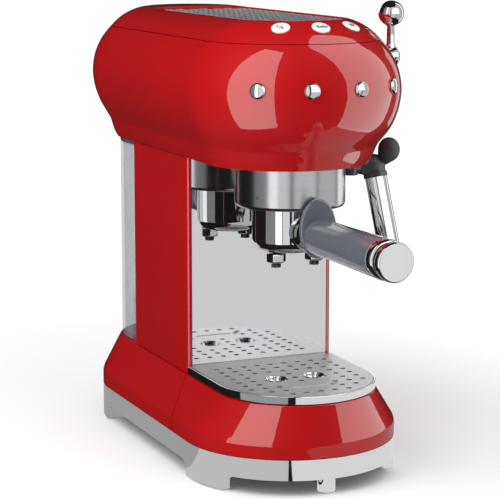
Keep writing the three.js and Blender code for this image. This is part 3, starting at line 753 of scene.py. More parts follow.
# -------------------- operators
class ESPRESSO_OT_stage(bpy.types.Operator):
    """Sets up the worktop, the soft studio lights and the camera"""

    bl_idname = "espresso.stage"
    bl_label = "Stage"

    def execute(self, context):
        scene = context.scene
        floor = primitive("plane", "worktop", size=12, location=(0, 0, 0))
        self.paint_worktop(floor)
        self.paint_room(scene)
        for name, sees, azimuth, distance, low, high, width, radiance in STANDING_CARDS:
            way = outward_way(azimuth)
            middle = Vector((0, HEAD_FRONT, (low + high) / 2)) + way * distance
            self.card(name, sees, middle, self.facing(way), (width, high - low), radiance)
        start = Vector((0, BASE_WIDE[1], CARD_Z))
        ahead, across = outward_way(GAP_TURN), outward_way(GAP_TURN + 90)
        for name, sees, forward, sideways, extent, radiance in FOOT_CARDS:
            middle = start + ahead * forward + across * sideways
            self.card(name, sees, middle, self.lying(GAP_TURN), extent, radiance)
        for name, sees, x, y, turn, extent, radiance in FLOOR_CARDS:
            self.card(name, sees, (x, y, CARD_Z), self.lying(turn), extent, radiance)
        for name, middle, way, extent, radiance in FILLS:
            self.card(name, "fill", middle, self.facing(Vector(way)), extent, radiance)

        camera = bpy.data.cameras.new("camera")
        camera.lens = CAMERA_LENS
        camera.sensor_width = 36
        camera.clip_end = 50
        seat = bpy.data.objects.new("camera", camera)
        scene.collection.objects.link(seat)
        seat.location = at(*CAMERA_PLACE)
        seat.rotation_euler = (math.radians(90 - CAMERA_PITCH), 0, math.radians(-CAMERA_TURN))
        scene.camera = seat
        scene.view_settings.view_transform = "Standard"
        return {"FINISHED"}

    def paint_worktop(self, floor):
        """A white worktop, fading into the backdrop, that reflections see as a dark one."""
        shader = Shader("worktop", Roughness=0.9)
        shader.surface.inputs["Specular IOR Level"].default_value = 0.0
        shader.feed("Base Color", shader.blend(shader.noise(2), (0.90,) * 3, (0.92,) * 3))
        floor.data.materials.append(shader.material)
        paper = shader.node("ShaderNodeEmission", inputs={"Strength": PAPER})
        far = 1 - self.spot(shader, at(0, 30, 0), (0.16, 0.24), 2.6)
        veil = 0.04 + 0.96 * far
        plain = Value(shader, shader.surface.outputs[0])
        seen = self.cover(shader, plain, paper, veil)
        camera_ray = shader.node("ShaderNodeLightPath", output="Is Camera Ray")
        picked = self.cover(shader, plain, seen, camera_ray)
        dim = shader.node("ShaderNodeEmission", inputs={"Strength": DARK_WORKTOP})
        glossy_ray = shader.node("ShaderNodeLightPath", output="Is Glossy Ray")
        last = self.cover(shader, picked, dim, glossy_ray)
        shader.tree.links.new(last.socket, shader.tree.nodes["Material Output"].inputs[0])

    def cover(self, shader, below, above, amount):
        """One surface mixed over another."""
        both = shader.node("ShaderNodeMixShader", inputs={0: amount})
        shader.tree.links.new(below.socket, both.socket.node.inputs[1])
        shader.tree.links.new(above.socket, both.socket.node.inputs[2])
        return both

    def spot(self, shader, middle, half, softness):
        """A soft oval mask on the worktop."""
        where = shader.node("ShaderNodeTexCoord", output="Object")
        moved = shader.node("ShaderNodeMapping", {"vector_type": "TEXTURE"}, {
            "Vector": where, "Location": middle, "Scale": (*half, 1)})
        away = shader.node("ShaderNodeVectorMath", {"operation": "LENGTH"}, {0: moved}, output="Value")
        return shader.node("ShaderNodeMapRange", {"interpolation_type": "SMOOTHSTEP"}, {
            "Value": away, "From Min": 1.0, "From Max": softness, "To Min": 1.0, "To Max": 0.0})

    def paint_room(self, scene):
        """A room that is white behind the machine, dark in reflections and soft for fill light."""
        world = bpy.data.worlds.new("studio")
        scene.world = world
        world.use_nodes = True
        tree = world.node_tree
        tree.nodes.remove(tree.nodes["Background"])
        path = tree.nodes.new("ShaderNodeLightPath")
        last = None
        for ray, strength in ROOM:
            room = tree.nodes.new("ShaderNodeBackground")
            room.inputs["Color"].default_value = (1, 1, 1, 1)
            room.inputs["Strength"].default_value = strength
            if last:
                choose = tree.nodes.new("ShaderNodeMixShader")
                tree.links.new(path.outputs[ray], choose.inputs[0])
                tree.links.new(last.outputs[0], choose.inputs[1])
                tree.links.new(room.outputs[0], choose.inputs[2])
                room = choose
            last = room
        tree.links.new(last.outputs[0], tree.nodes["World Output"].inputs[0])

    def facing(self, way):
        """The turn of an upright card that shines back along a direction."""
        return way.to_track_quat("Z", "Y").to_matrix().to_4x4()

    def lying(self, turn):
        """The turn of a card that lies on the worktop and shines up."""
        return Matrix.Rotation(math.radians(turn), 4, "Z") @ Matrix.Rotation(math.pi, 4, "X")

    def card(self, name, sees, middle, aim, extent, radiance):
        """A rectangular soft light: a fill, or a card that only one family of finishes reflects."""
        light = bpy.data.lights.new(name, "AREA")
        light.shape = "RECTANGLE"
        light.size, light.size_y = (side * MM for side in extent)
        light.energy = radiance * math.pi * light.size * light.size_y
        stand = bpy.data.objects.new(name, light)
        bpy.context.scene.collection.objects.link(stand)
        stand.location = at(*middle)
        stand.rotation_euler = aim.to_euler()
        stand.visible_camera = False
        stand.visible_glossy = sees != "fill"
        stand.visible_diffuse = sees == "fill"
        if sees != "fill":
            stand.light_linking.receiver_collection = self.family(sees)

    def family(self, sees):
        """The pieces that reflect one family of cards."""
        group = bpy.data.collections.get(sees)
        if group:
            return group
        group = bpy.data.collections.new(sees)
        for piece in bpy.data.objects:
            if piece.type != "MESH" or not piece.data.materials or not piece.data.materials[0]:
                continue
            finish_name = piece.data.materials[0].name.split(".")[0]
            metal = finish_name in METALS
            kinds = {
                "foot": piece.name in ("foot_band", "chrome_post"),
                "bright": piece.name in ("foot_band", "chrome_post", "tray_rim"),
                "rim": piece.name == "tray_rim",
                "metal": metal and piece.name != "column_front_panel",
                "sheet": piece.name in ("column_front_panel", "end_face"),
                "any_metal": metal,
                "gloss": not metal and finish_name != "worktop",
            }
            if kinds[sees]:
                group.objects.link(piece)
        return group


class ESPRESSO_OT_head(bpy.types.Operator):
    """Models the enamelled head shell and its lid"""

    bl_idname = "espresso.head"
    bl_label = "Head"

    def execute(self, context):
        choice = settings("head")
        shell = capsule("head_body", eased(HEAD_SECTIONS), closed=False)
        self.thicken(shell)
        carve(shell, pin("bearing_hole", 6.6, 50, 90, (0, LEVER.y, LEVER.z), (1, 0, 0), 32))
        finish(shell, "machine", "red_enamel", ["head_shell"], edge=choice.edge)

        lid = capsule("head_cover", eased(LID_SECTIONS), closed=False)
        edit(lid)
        mesh = bmesh.from_edit_mesh(lid.data)
        top = max(v.co.z for v in mesh.verts)
        pick(lambda v: v.co.z > top - 1e-6)
        bpy.ops.mesh.edge_face_add()
        outward()
        object_mode()
        self.thicken(lid)
        well = rest_outline("well", 298, 320, 0.4)
        holes = [pin("button_hole", 6.5, -14, 8, *button_place(turn), 40) for turn in BUTTON_TURNS]
        carve(lid, well, *holes)
        finish(lid, "machine", "red_enamel", ["head_lid"], edge=choice.edge)
        return {"FINISHED"}

    def thicken(self, shell):
        """Gives an open skin the wall of the enamelled shells, inwards."""
        apply_modifier(shell, "SOLIDIFY", thickness=settings("head").wall * MM, offset=-1,
                       use_even_offset=True)


class ESPRESSO_OT_cup_rest(bpy.types.Operator):
    """Models the louvred steel cup rest in the lid"""

    bl_idname = "espresso.cup_rest"
    bl_label = "Cup rest"

    def execute(self, context):
        choice = settings("head")
        plate = rest_outline("cup_rest_plate", REST_LOW_Z, REST_TOP_Z, 0)
        pitch = choice.louvre_pitch
        spots = []
        rows = int(REST_RADIUS // pitch)
        for row in range(-rows, rows + 1):
            shift = 0.5 * pitch * (row % 2)
            for i in range(30):
                x = row * pitch
                y = REST_BACK - 9 - shift - i * pitch
                beyond = max(0.0, HEAD_FRONT - y)
                if math.hypot(x, beyond) < REST_RADIUS - 4.5 and abs(x) < REST_RADIUS - 3.5:
                    spots.append((x, y, 0))
        slot = block("louvre_slot", (-2, -3.6, REST_LOW_Z - 2), (2, 3.6, REST_TOP_Z + 2))
        carve(plate, repeat("louvre_slots", slot, spots))
        hood = self.hood(choice.louvre_rise)
        hoods = repeat("cup_rest_hoods", hood, spots)
        # The plate under the louvres takes a darker steel, with the louvres' shade painted into its
        # colour.
        finish(plate, "machine", "brushed_steel", ["cup_grille"], looks="shaded_steel")
        finish(hoods, "machine", "brushed_steel")
        return {"FINISHED"}

    def hood(self, rise):
        """One pressed-up louvre, open towards both sides of the machine."""
        width, length, sunk = 6.0, 8.4, 0.3
        hood = primitive("grid", "hood", x_subdivisions=2, y_subdivisions=6, size=1,
                         location=at(0, 0, REST_TOP_Z - sunk))
        edit_all(hood)
        bpy.ops.transform.resize(value=(width * MM, length * MM, 1),
                                 center_override=at(0, 0, REST_TOP_Z))
        for step in range(7):
            along = -1 + step / 3
            pick(lambda v: abs(v.co.y - ORIGIN.y - along * length / 2 * MM) < 1e-5)
            bpy.ops.transform.translate(value=(0, 0, (rise + 0.1) * (1 - along ** 4) * MM))
        object_mode()
        return apply_modifier(hood, "SOLIDIFY", thickness=0.5 * MM, offset=-1)


class ESPRESSO_OT_buttons(bpy.types.Operator):
    """Models the three round push buttons and their icons"""

    bl_idname = "espresso.buttons"
    bl_label = "Buttons"

    def execute(self, context):
        icons = (self.one_cup, self.two_cups, self.steam)
        for i, (turn, body, icon) in enumerate(zip(BUTTON_TURNS, BUTTON_BODIES, icons)):
            point, way = button_place(turn)
            cap = turned(f"push_button_{i + 1}", [
                (0, -4.5), (6.1, -4.5), (6.1, 0.35, 0.5), (4.5, 0.62), (2.5, 0.68), (0, 0.7)],
                point, way, 48)
            finish(cap, body, "white_plastic", [f"button_{i + 1}"])
            mark = place(icon(), point, way, turn)
            mark.name = f"button_icon_{i + 1}"
            finish(mark, body, "white_plastic", looks="icon_grey")
        return {"FINISHED"}

    def bowl(self, x, y, radius):
        """A cup's outline: half a ring, its rim and a small handle."""
        ring = self.wire("bowl", 28, x, y, radius, 0.27)
        edit_all(ring)
        bpy.ops.mesh.bisect(plane_co=(0, y * MM, 0), plane_no=(0, 1, 0), use_fill=True,
                            clear_outer=True)
        rim = self.bar("rim", x, y, 2.4 * radius, 0.5)
        ear = self.wire("ear", 16, x + 1.2 * radius, y - 0.35 * radius, 0.34 * radius, 0.2)
        return [ring, rim, ear]

    def wire(self, name, steps, x, y, radius, thickness):
        """A ring of wire lying on the button's face."""
        return primitive("torus", name, major_segments=steps, minor_segments=6,
                         major_radius=radius * MM, minor_radius=thickness * MM,
                         location=Vector((x, y, ICON_Z)) * MM)

    def bar(self, name, x, y, width, length, turn=0.0):
        """A flat bar lying on the button's face."""
        return primitive("cube", name, size=1, location=Vector((x, y, ICON_Z)) * MM,
                         rotation=(0, 0, turn), scale=Vector((width, length, ICON_DEPTH)) * MM)

    def stroke(self, x, y, length):
        """One short stroke of steam."""
        return self.bar("stroke", x, y, 0.5, length, 0.25)

    def one_cup(self):
        """A cup with a wisp over it."""
        return join("one_cup", [*self.bowl(-0.3, 0, 2.3), self.stroke(-0.3, 1.6, 1.9)])

    def two_cups(self):
        """Two cups side by side."""
        return join("two_cups", [*self.bowl(-1.9, 0, 1.6), *self.bowl(1.7, 0, 1.6),
                                 self.stroke(-1.9, 1.5, 1.5), self.stroke(1.7, 1.5, 1.5)])

    def steam(self):
        """Three wisps of steam."""
        return join("steam", [self.stroke(x, 0, 4.2 - abs(x)) for x in (-1.7, 0, 1.7)])


class ESPRESSO_OT_studs(bpy.types.Operator):
    """Models the four plain chrome studs on the head's front"""

    bl_idname = "espresso.studs"
    bl_label = "Front studs"

    def execute(self, context):
        for i, turn in enumerate(STUD_TURNS):
            out = outward_way(turn)
            point = Vector((0, HEAD_FRONT, STUD_Z)) + out * STUD_REACH
            lifted = (out + Vector((0, 0, 0.08))).normalized()
            stud = turned(f"chrome_stud_{i + 1}", [
                (0, 0), (5.2, 0), (5.2, 1.7, 0.4), (4.3, 2.6, 0.3), (2.4, 3.2), (0, 3.4)],
                point, lifted, 48)
            finish(stud, "machine", "polished_chrome", [f"front_stud_{i + 1}"])
        return {"FINISHED"}


class ESPRESSO_OT_base(bpy.types.Operator):
    """Models the front and rear enamel shells of the base"""

    bl_idname = "espresso.base"
    bl_label = "Base shells"

    def execute(self, context):
        wall = settings("head").wall
        crease = settings("base").crease_radius
        wide_radius, wide_front, wide_rear = BASE_WIDE
        top_radius, top_front, top_rear = BASE_TOP
        body = capsule("base_body", [
            (BASE_BOTTOM_Z, *BASE_WIDE), (CREASE_Z, *BASE_WIDE), (BASE_TOP_Z, *BASE_TOP)])
        round_edges(body, lambda a, b: max(abs(a.z - CREASE_Z), abs(b.z - CREASE_Z)) < 0.01, crease, 6)
        round_edges(body, lambda a, b: min(a.z, b.z) > BASE_TOP_Z - 0.01, 0.8, 3)
        hollow = capsule("base_hollow", [
            (BASE_BOTTOM_Z - 5, wide_radius - wall, wide_front, wide_rear),
            (CREASE_Z - 1, wide_radius - wall, wide_front, wide_rear),
            (BASE_TOP_Z - wall, top_radius - 2.2, top_front + 0.5, top_rear)])
        well = tongue("tray_well", 30, 80, TRAY_WELL_RADIUS, TRAY_FRONT, 10)
        carve(body, hollow, well)
        for name, gap, operation in (("base_front", -0.2, "INTERSECT"),
                                     ("base_rear", 0.2, "DIFFERENCE")):
            wedge = block("wedge", (-95, -190, 0), (95, SEAM_Y + gap, 90))
            for side in (-1, 1):
                slice_off(wedge, (0, 57 + gap, 0), (side, 1, 0))
            part = carve(copy_of(body, name), wedge, operation=operation)
            if name == "base_rear":
                carve(part, pin("gland_hole", 4.6, 170, 204, (0, 0, GLAND_Z), (0, 1, 0), 24))
            finish(part, "machine", "red_enamel", [name + "_shell"], edge=0.3, angle=28)
        bpy.data.meshes.remove(body.data)
        return {"FINISHED"}


class ESPRESSO_OT_foot_frame(bpy.types.Operator):
    """Models the chrome foot frame, its legs and the front post"""

    bl_idname = "espresso.foot_frame"
    bl_label = "Foot frame"

    def execute(self, context):
        radius, front, rear = BASE_WIDE
        band = upright("foot_band", FRAME_LOW_Z, FRAME_TOP_Z, *BASE_WIDE)
        hollow = upright("frame_hollow", FRAME_LOW_Z - 2, FRAME_TOP_Z + 2, radius - 3, front, rear)
        feet = upright("feet", FRAME_LOW_Z - 1, FOOT_TOP_Z, *BASE_WIDE)
        inner = radius - LEG_DEPTH
        carve(feet, block("between_feet", (-inner, -200, -5), (inner, 260, 30)))
        for y0, y1 in LEG_GAPS:
            carve(feet, block("foot_gap", (-90, y0, -5), (90, y1, 30)))
        carve(hollow, feet)
        carve(band, hollow)
        for y0, y1 in LEG_GAPS:
            arch = block("arch", (-100, y0, -10), (100, y1, ARCH_Z))
            round_edges(arch, lambda a, b: min(a.z, b.z) > ARCH_Z - 0.1 and abs(a.x - b.x) > 50,
                        settings("base").arch_radius, 10)
            carve(band, arch)
        finish(band, "machine", "polished_chrome", ["foot_frame"], edge=1.0, angle=35, segments=4)
        post = turned("chrome_post", [(0, 0), (6, 0, 1.0), (6, 12.6), (0, 12.6)], (0, POST_Y, 0))
        finish(post, "machine", "polished_chrome", ["front_post"])
        return {"FINISHED"}


class ESPRESSO_OT_drip_tray(bpy.types.Operator):
    """Models the perforated tray grid, its dishes and the chrome rim"""

    bl_idname = "espresso.drip_tray"
    bl_label = "Drip tray"

    def execute(self, context):
        choice = settings("base")
        radius = TRAY_RADIUS - 1.5
        plate = tongue("tray_plate", GRID_LOW_Z, GRID_TOP_Z, radius, TRAY_FRONT, TRAY_BACK - 1.6)
        spots = []
        for column in range(-4, 5):
            for row in range(1, 11):
                x = column * choice.hole_pitch
                y = TRAY_FRONT + 50 - row * choice.hole_pitch
                inside = y > TRAY_FRONT or math.hypot(x, y - TRAY_FRONT) < radius - 5
                on_dish = abs(y - SPOUT_Y) < 12 and abs(abs(x) - SPOUT_X) < 12
                on_line = abs(y - TRAY_LINE_Y) < 8 and abs(x) < 20
                if inside and not on_dish and not on_line:
                    spots.append((x, y, 0))
        hole = pin("hole", choice.hole_radius, -2, 3, (0, 0, GRID_LOW_Z), steps=14)
        holes = repeat("holes", hole, spots)
        eye_hole = pin("slot_hole", 1.6, -2, 3, (17, TRAY_LINE_Y, GRID_LOW_Z), steps=20)
        wells = [pin("well", choice.dish_radius - 1, -2, 3, (x, SPOUT_Y, GRID_LOW_Z), steps=40)
                 for x in (-SPOUT_X, SPOUT_X)]
        carve(plate, holes, eye_hole, *wells)
        finish(plate, "tray_grid", "brushed_steel", ["drip_tray_grid"], edge=0.18, angle=35)
        for side, x in (("left", -SPOUT_X), ("right", SPOUT_X)):
            outer = choice.dish_radius
            dish = turned(f"dish_{side}", [
                (4.6, -3.4), (outer - 2.4, -3.0, 0.6), (outer - 1.1, 0.1), (outer - 0.5, 0.5, 0.2),
                (outer, 0.02), (outer - 1.4, -0.6), (outer - 2.9, -3.6), (4.6, -4.0), (4.6, -3.4)],
                (x, SPOUT_Y, GRID_TOP_Z), steps=48)
            finish(dish, "tray_grid", "brushed_steel", looks="polished_chrome")
        line = block("tray_line", (-14, TRAY_LINE_Y - 0.6, GRID_TOP_Z - 0.2),
                     (13, TRAY_LINE_Y + 0.6, GRID_TOP_Z + 0.35))
        finish(line, "tray_grid", "brushed_steel", edge=0.25, angle=35, segments=3)
        eye = turned("tray_eye", [
            (1.5, -0.2), (2.4, -0.2), (2.2, 0.4, 0.15), (1.6, 0.4, 0.15), (1.5, -0.2)],
            (17, TRAY_LINE_Y, GRID_TOP_Z), steps=28)
        finish(eye, "tray_grid", "brushed_steel")

        rim = tongue("tray_rim", RIM_LOW_Z, RIM_TOP_Z, TRAY_RADIUS, TRAY_FRONT, TRAY_BACK)
        carve(rim, tongue("rim_hollow", RIM_LOW_Z - 5, RIM_TOP_Z + 5, radius + 0.3,
                          TRAY_FRONT, TRAY_BACK - 1.2))
        finish(rim, "tray_grid", "polished_chrome", ["drip_tray_rim"], edge=0.4, angle=35, segments=3)
        return {"FINISHED"}


class ESPRESSO_OT_column(bpy.types.Operator):
    """Models the column's side panels"""

    bl_idname = "espresso.column"
    bl_label = "Column"

    def execute(self, context):
        low, high = (local(corner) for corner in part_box("column_right_panel"))
        for side, sign in (("right", 1), ("left", -1)):
            x0, x1 = sorted((sign * low.x, sign * high.x))
            panel = block(f"side_panel_{side}", (x0, low.y, low.z), (x1, high.y, high.z))
            round_edges(panel, lambda a, b: max(a.y, b.y) < 1 and min(abs(a.x), abs(b.x)) > 54, 2.6, 8)
            finish(panel, "machine", "red_enamel", [f"column_{side}_panel"], edge=0.3)
        return {"FINISHED"}


class ESPRESSO_OT_tank(bpy.types.Operator):
    """Models the clear water tank, its lid and its seat"""

    bl_idname = "espresso.tank"
    bl_label = "Water tank"

    def execute(self, context):
        low, high = (local(corner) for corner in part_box("water_tank"))
        lid_low, lid_high = (local(corner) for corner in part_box("tank_lid"))
        radius, rear, wall = high.x, 131, 2.2
        seat_top = mm(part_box("tank_seat_seal")[1].z) + 0.7
        seat_back = local(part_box("tank_seat_seal")[1]).y + 0.5
        tank = self.shape("clear_tank", radius, low.y, rear, low.z, high.z)
        carve(tank, block("seat_space", (-60, low.y - 5, low.z - 5), (60, seat_back, seat_top)))
        hollow = self.shape("tank_hollow", radius - wall, low.y + wall, rear, low.z + wall, high.z + 5)
        carve(hollow, block("seat_wall", (-60, low.y - 5, low.z - 5),
                            (60, seat_back + wall, seat_top + wall)))
        outlet = pin("outlet_hole", 4.4, seat_back - 4, seat_back + 6, (0, 0, OUTLET_Z), (0, 1, 0), 24)
        carve(tank, hollow, outlet)
        finish(tank, "tank", "clear_plastic", ["water_tank"], edge=0.5, angle=35, segments=3)
        lid = self.shape("tank_cover", radius, low.y, rear, lid_low.z, lid_high.z)
        finish(lid, "tank", "grey_plastic", ["tank_lid"], edge=0.8, angle=35, segments=3)
        for node, name, slot in (("tank_seat", "seat_block", "red_enamel"),
                                 ("tank_seat_seal", "seat_seal", "dark_rubber")):
            part = block(name, *(local(corner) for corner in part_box(node)))
            if node == "tank_seat":
                carve(part, pin("port", 6.6, 100, 130, (0, 0, OUTLET_Z), (0, 1, 0), 32))
            finish(part, "machine", slot, [node], edge=0.8, angle=35, segments=3)
        return {"FINISHED"}

    def shape(self, name, radius, front, rear, low, high):
        """A body that is flat in front and round behind."""
        body = upright(name, low, high, radius, front - 0.01, rear)
        return slice_off(body, (0, front, 0), (0, -1, 0))


class ESPRESSO_OT_group(bpy.types.Operator):
    """Models the brushed group collar and its two locking marks"""

    bl_idname = "espresso.group"
    bl_label = "Brewing group"

    def execute(self, context):
        radius = settings("group").collar_radius
        low, high = (mm(corner.z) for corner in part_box("group_collar"))
        collar = turned("collar", [
            (32.2, low), (radius - 1.2, low), (radius, low + 1.4, 1.2), (radius, high), (34.6, high),
            (34.6, low + 3), (32.2, low + 3), (32.2, low)], (0, GROUP_Y, 0), steps=96)
        finish(collar, "machine", "brushed_steel", ["group_collar"], angle=30, looks="turned_steel")
        for name, turn, up in (("lock_mark_open", -59, 1), ("lock_mark_closed", 1, -1)):
            out = outward_way(turn)
            strokes = [primitive("cube", "stroke", size=1, scale=Vector((0.35, 2.6, 0.16)) * MM,
                                 location=(lean * 0.85 * MM, 0, 0), rotation=(0, 0, up * lean * 0.65))
                       for lean in (-1, 1)]
            mark = place(join(name, strokes), Vector((0, GROUP_Y, LOCK_MARK_Z)) + out * radius, out)
            finish(mark, "machine", "black_plastic", angle=35)
        return {"FINISHED"}


class ESPRESSO_OT_portafilter(bpy.types.Operator):
    """Models the portafilter: cup, neck, guard, grip, end cap and spouts"""

    bl_idname = "espresso.portafilter"
    bl_label = "Portafilter"

    def execute(self, context):
        radius, corner = settings("group").cup_radius, settings("group").cup_corner
        low, high = (mm(edge.z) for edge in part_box("portafilter_cup"))
        cup = turned("cup", [
            (0, low), (radius, low, corner), (radius, high - 9.8), (radius + 0.9, high - 8.4),
            (31.2, high - 8.4), (31.2, high - 4.6, 0.4), (29.4, high - 4.6), (29.4, high),
            (27, high), (27, high - 2.6), (23.2, high - 2.6), (23.2, 166), (20, 160.2), (0, 160.2)],
            (0, GROUP_Y, 0), steps=96)
        carve(cup, *(pin("drain", 2, low - 2, low + 9, (x, SPOUT_Y, 0), steps=20)
                     for x in (-SPOUT_X, SPOUT_X)))
        finish(cup, "portafilter", "polished_chrome", ["portafilter_cup"], angle=35)
        self.handle()
        for side, x in (("left", -SPOUT_X), ("right", SPOUT_X)):
            self.spout(side, x, low)
        return {"FINISHED"}

    def handle(self):
        """The pieces turned about the handle's axis, with heights from the group's axis."""
        for name, nodes, slot, steps, angle, profile in (
                ("neck", ["portafilter_neck"], "polished_chrome", 64, 40, [
                    (0, 22), (11.5, 22), (11.5, 29.6, 1.4), (10.2, 31.2, 0.6), (9.2, 34), (9.2, 37.4),
                    (10.8, 39.6), (10.8, 40.8), (0, 40.8)]),
                ("guard", ["thumb_disc"], "grey_plastic", 80, 40, [
                    (0, 41), (19.8, 41, 1.6), (19.8, 44.8, 1.6), (0, 44.8)]),
                ("grip", ["handle_grip"], "grey_plastic", 80, 40, [
                    (0, 45), (11.6, 45), (12.3, 46.5), (12.4, 50), (12.3, 62), (12.2, 75), (12.3, 90),
                    (12.55, 108), (12.8, 122), (13.0, 134, 0.4), (12.6, 134.4), (12.6, 135), (0, 135)]),
                ("grip_ring", [], "polished_chrome", 64, 40, [
                    (0, 135.1), (13.05, 135.1, 0.3), (13.15, 138.2, 0.8), (12.5, 140.4, 0.9),
                    (11.2, 141.2), (0, 141.2)]),
                ("grip_gap", [], "black_plastic", 64, 40, [
                    (0, 140.8), (10.6, 140.8), (10.6, 144.6), (0, 144.6)]),
                ("end_cap", ["handle_end_cap"], "polished_chrome", 64, 30, [
                    (0, 144.2), (11.6, 144.2, 0.4), (12.7, 145.8, 0.6), (12.7, 149.4, 0.9),
                    (11.7, 150.55, 0.3), (11.5, 150.4), (0, 150.4)]),
                ("end_face", [], "brushed_steel", 64, 30, [
                    (0, 150.3), (11.5, 150.3), (11.5, 150.6, 0.1), (0, 150.62)])):
            piece = turned(name, profile, (0, GROUP_Y, HANDLE_Z), outward_way(HANDLE_TURN), steps)
            if name == "guard":
                self.narrow(piece)
            finish(piece, "portafilter", slot, nodes, angle=angle)

    def narrow(self, guard):
        """Makes the round guard oval and lifts it above the handle's axis."""
        edit_all(guard)
        bpy.ops.transform.resize(value=(0.66, 1, 1), center_override=at(0.75, GROUP_Y - 43, HANDLE_Z))
        bpy.ops.transform.translate(value=(0, 0, 4.9 * MM))

    def spout(self, side, x, top):
        """A hexagonal spout nut and its star-shaped tip."""
        nut_top, nut_low, tip_z = top - 0.3, 147, 144.5
        nut = primitive("cylinder", f"hex_nut_{side}", vertices=6, radius=6.8 * MM,
                        depth=(nut_top - nut_low) * MM, rotation=(0, 0, 0.35),
                        location=at(x, SPOUT_Y, (nut_top + nut_low) / 2))
        edit(nut)
        pick(lambda f: f.normal.z < -0.9, "faces")
        bpy.ops.mesh.extrude_region_move(TRANSFORM_OT_translate={"value": (0, 0, -0.9 * MM)})
        bpy.ops.transform.resize(value=(0.72, 0.72, 1), center_override=at(x, SPOUT_Y, nut_low - 1))
        carve(nut, pin("bore", 2.0, 140, 170, (x, SPOUT_Y, 0), steps=20))
        finish(nut, "portafilter", "polished_chrome", [f"spout_nut_{side}"], edge=0.7, angle=25,
               segments=4)
        tip = primitive("cylinder", f"star_tip_{side}", vertices=12, radius=3.7 * MM, depth=2.6 * MM,
                        location=at(x, SPOUT_Y, tip_z))
        edit(tip)
        centre = at(x, SPOUT_Y, tip_z)
        clock = math.radians(30)
        pick(lambda v: round(math.atan2(v.co.y - centre.y, v.co.x - centre.x) / clock) % 2 == 1)
        bpy.ops.transform.resize(value=(0.62, 0.62, 1), center_override=centre)
        finish(tip, "portafilter", "black_plastic", [f"spout_tip_{side}"], edge=0.3, angle=25)


class ESPRESSO_OT_steam_lever(bpy.types.Operator):
    """Models the steam lever, its ball and its bearing"""

    bl_idname = "espresso.steam_lever"
    bl_label = "Steam lever"

    def execute(self, context):
        x, y, z = LEVER
        ball_z = middle_of("lever_ball").z
        bearing = turned("bearing", [(3.6, 62), (6.4, 62), (6.4, 71.6, 0.8), (3.6, 71.6), (3.6, 62)],
                         (0, y, z), (1, 0, 0))
        finish(bearing, "machine", "polished_chrome", ["lever_bearing"])
        hub = turned("hub", [
            (0, 50), (3.1, 50), (3.1, 72.4), (6.4, 72.4, 0.5), (7, 75), (7, 79, 0.8), (5, 81, 1.0),
            (0, 81.6)], (0, y, z), (1, 0, 0))
        rise = ball_z - z
        stem = turned("stem", [
            (0, 0), (3.6, 0), (3.6, 7, 1.0), (2.9, 9), (2.7, rise - 9), (3.3, rise - 8.2),
            (0, rise - 7)], (x, y, z))
        finish(join("lever_arm", [hub, stem]), "lever", "polished_chrome", ["steam_lever"])
        ball = primitive("uv_sphere", "ball_knob", segments=64, ring_count=32, radius=8.9 * MM,
                         location=at(x, y, ball_z))
        slice_off(ball, (x, y, ball_z - 8.3), (0, 0, -1))
        finish(ball, "lever", "polished_chrome", ["lever_ball"])
        return {"FINISHED"}


class ESPRESSO_OT_steam_wand(bpy.types.Operator):
    """Models the steam wand: elbow, ring, tube, nozzle and rubber tab"""

    bl_idname = "espresso.steam_wand"
    bl_label = "Steam wand"

    def execute(self, context):
        self.elbow()
        for name, nodes, slot, looks, steps, profile in (
                ("wand_ring", [], "grey_plastic", "dark_moulding", 64, [
                    (0, 4.9), (8.1, 4.9, 0.4), (8.3, 7.9, 0.6), (7.6, 8.4), (0, 8.4)]),
                ("sleeve_tube", ["wand_tube"], "polished_chrome", None, 64, [
                    (6.4, 8.1), (7.7, 8.1), (7.7, 66.8, 0.8), (6.9, 68, 0.3), (6.4, 68), (6.4, 8.1)]),
                ("steam_pipe", ["wand_nozzle"], "brushed_steel", None, 40, [
                    (0, 11), (3, 11), (3, 70.5), (3.7, 72.2, 0.4), (2.6, 76.4, 0.8), (0, 77.4)])):
            piece = turned(name, profile, WAND_PIVOT, WAND_WAY, steps)
            finish(piece, "wand", slot, nodes, looks=looks)
        self.tab()
        return {"FINISHED"}

    def elbow(self):
        """A domed bend that swells as it leaves the socket and turns down into the tube."""
        elbow = turned("elbow", [
            (0, -11.3), (5.4, -11.3), (5.7, -9.5), (6.9, -6), (7.8, -3), (7.8, 0), (0, 0)],
            WAND_PIVOT, (1, 0, 0), 48)
        neck = pin("neck", 7.5, 0, 5.1, WAND_PIVOT, WAND_WAY, 64)
        carve(elbow, self.ball(WAND_PIVOT, (8, 8, 8)), neck, operation="UNION")
        finish(elbow, "wand", "grey_plastic", ["wand_elbow"], angle=50, looks="dark_moulding")

    def ball(self, point, radii):
        """A ball stretched along the axes."""
        return primitive("uv_sphere", "ball", segments=48, ring_count=24, radius=MM,
                         location=at(*point), scale=radii)

    def tab(self):
        """A rubber thumb tab: a soft skin stretched over two flattened balls."""
        tab = join("thumb_tab", [self.ball((71.8, -48.8, 211.8), (4.2, 5, 5)),
                                 self.ball((73.4, -52.5, 217.8), (7.3, 8.4, 8.4))])
        edit_all(tab)
        bpy.ops.mesh.convex_hull()
        finish(tab, "wand", "dark_rubber", ["wand_tab"], angle=60)


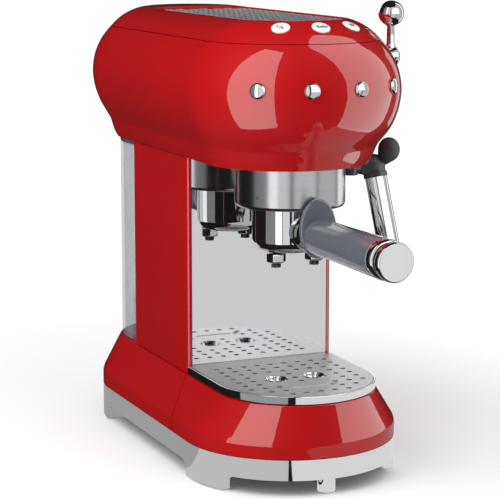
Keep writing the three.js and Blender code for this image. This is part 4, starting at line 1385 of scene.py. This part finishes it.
class ESPRESSO_OT_inner_parts(bpy.types.Operator):
    """Gives the frame nodes that keep their own shape their finishes"""

    bl_idname = "espresso.inner_parts"
    bl_label = "Inner parts"

    def execute(self, context):
        rows = {row["node"]: row["material_slot"] for row in frame["record"]["subparts"]}
        for name, node in frame["nodes"].items():
            node.data.materials.clear()
            shown = "dark_moulding" if name == "wand_socket" else rows[name]
            node.data.materials.append(material(shown))
        return {"FINISHED"}


OPERATORS = (
    ESPRESSO_OT_head, ESPRESSO_OT_cup_rest, ESPRESSO_OT_buttons, ESPRESSO_OT_studs,
    ESPRESSO_OT_base, ESPRESSO_OT_foot_frame, ESPRESSO_OT_drip_tray, ESPRESSO_OT_column,
    ESPRESSO_OT_tank, ESPRESSO_OT_group, ESPRESSO_OT_portafilter, ESPRESSO_OT_steam_lever,
    ESPRESSO_OT_steam_wand, ESPRESSO_OT_inner_parts, ESPRESSO_OT_stage,
)
SETTINGS = {
    "head": EspressoHeadSettings,
    "base": EspressoBaseSettings,
    "group": EspressoGroupSettings,
    "colours": EspressoColourSettings,
}


class ESPRESSO_PT_pieces(bpy.types.Panel):
    """Lists the settings and the operators"""

    bl_idname = "ESPRESSO_PT_pieces"
    bl_label = "Espresso machine"
    bl_space_type = "VIEW_3D"
    bl_region_type = "UI"
    bl_category = "Espresso"

    def draw(self, context):
        for name, group in SETTINGS.items():
            box = self.layout.box()
            box.label(text=name.capitalize())
            for key in group.__annotations__:
                box.prop(settings(name), key)
        for operator in OPERATORS:
            self.layout.operator(operator.bl_idname)


CLASSES = (*SETTINGS.values(), *OPERATORS, ESPRESSO_PT_pieces)


def register():
    """Registers the classes and the scene's settings."""
    for item in CLASSES:
        bpy.utils.register_class(item)
    for name, group in SETTINGS.items():
        setattr(bpy.types.Scene, "espresso_" + name, bpy.props.PointerProperty(type=group))


def unregister():
    """Removes what register added."""
    for name in SETTINGS:
        delattr(bpy.types.Scene, "espresso_" + name)
    for item in reversed(CLASSES):
        bpy.utils.unregister_class(item)


def main():
    """Models every piece."""
    register()
    for operator in OPERATORS:
        name = operator.bl_idname.split(".")[1]
        getattr(bpy.ops.espresso, name)()
    object_mode()
    bpy.context.view_layer.update()


if __name__ == "__main__":
    main()
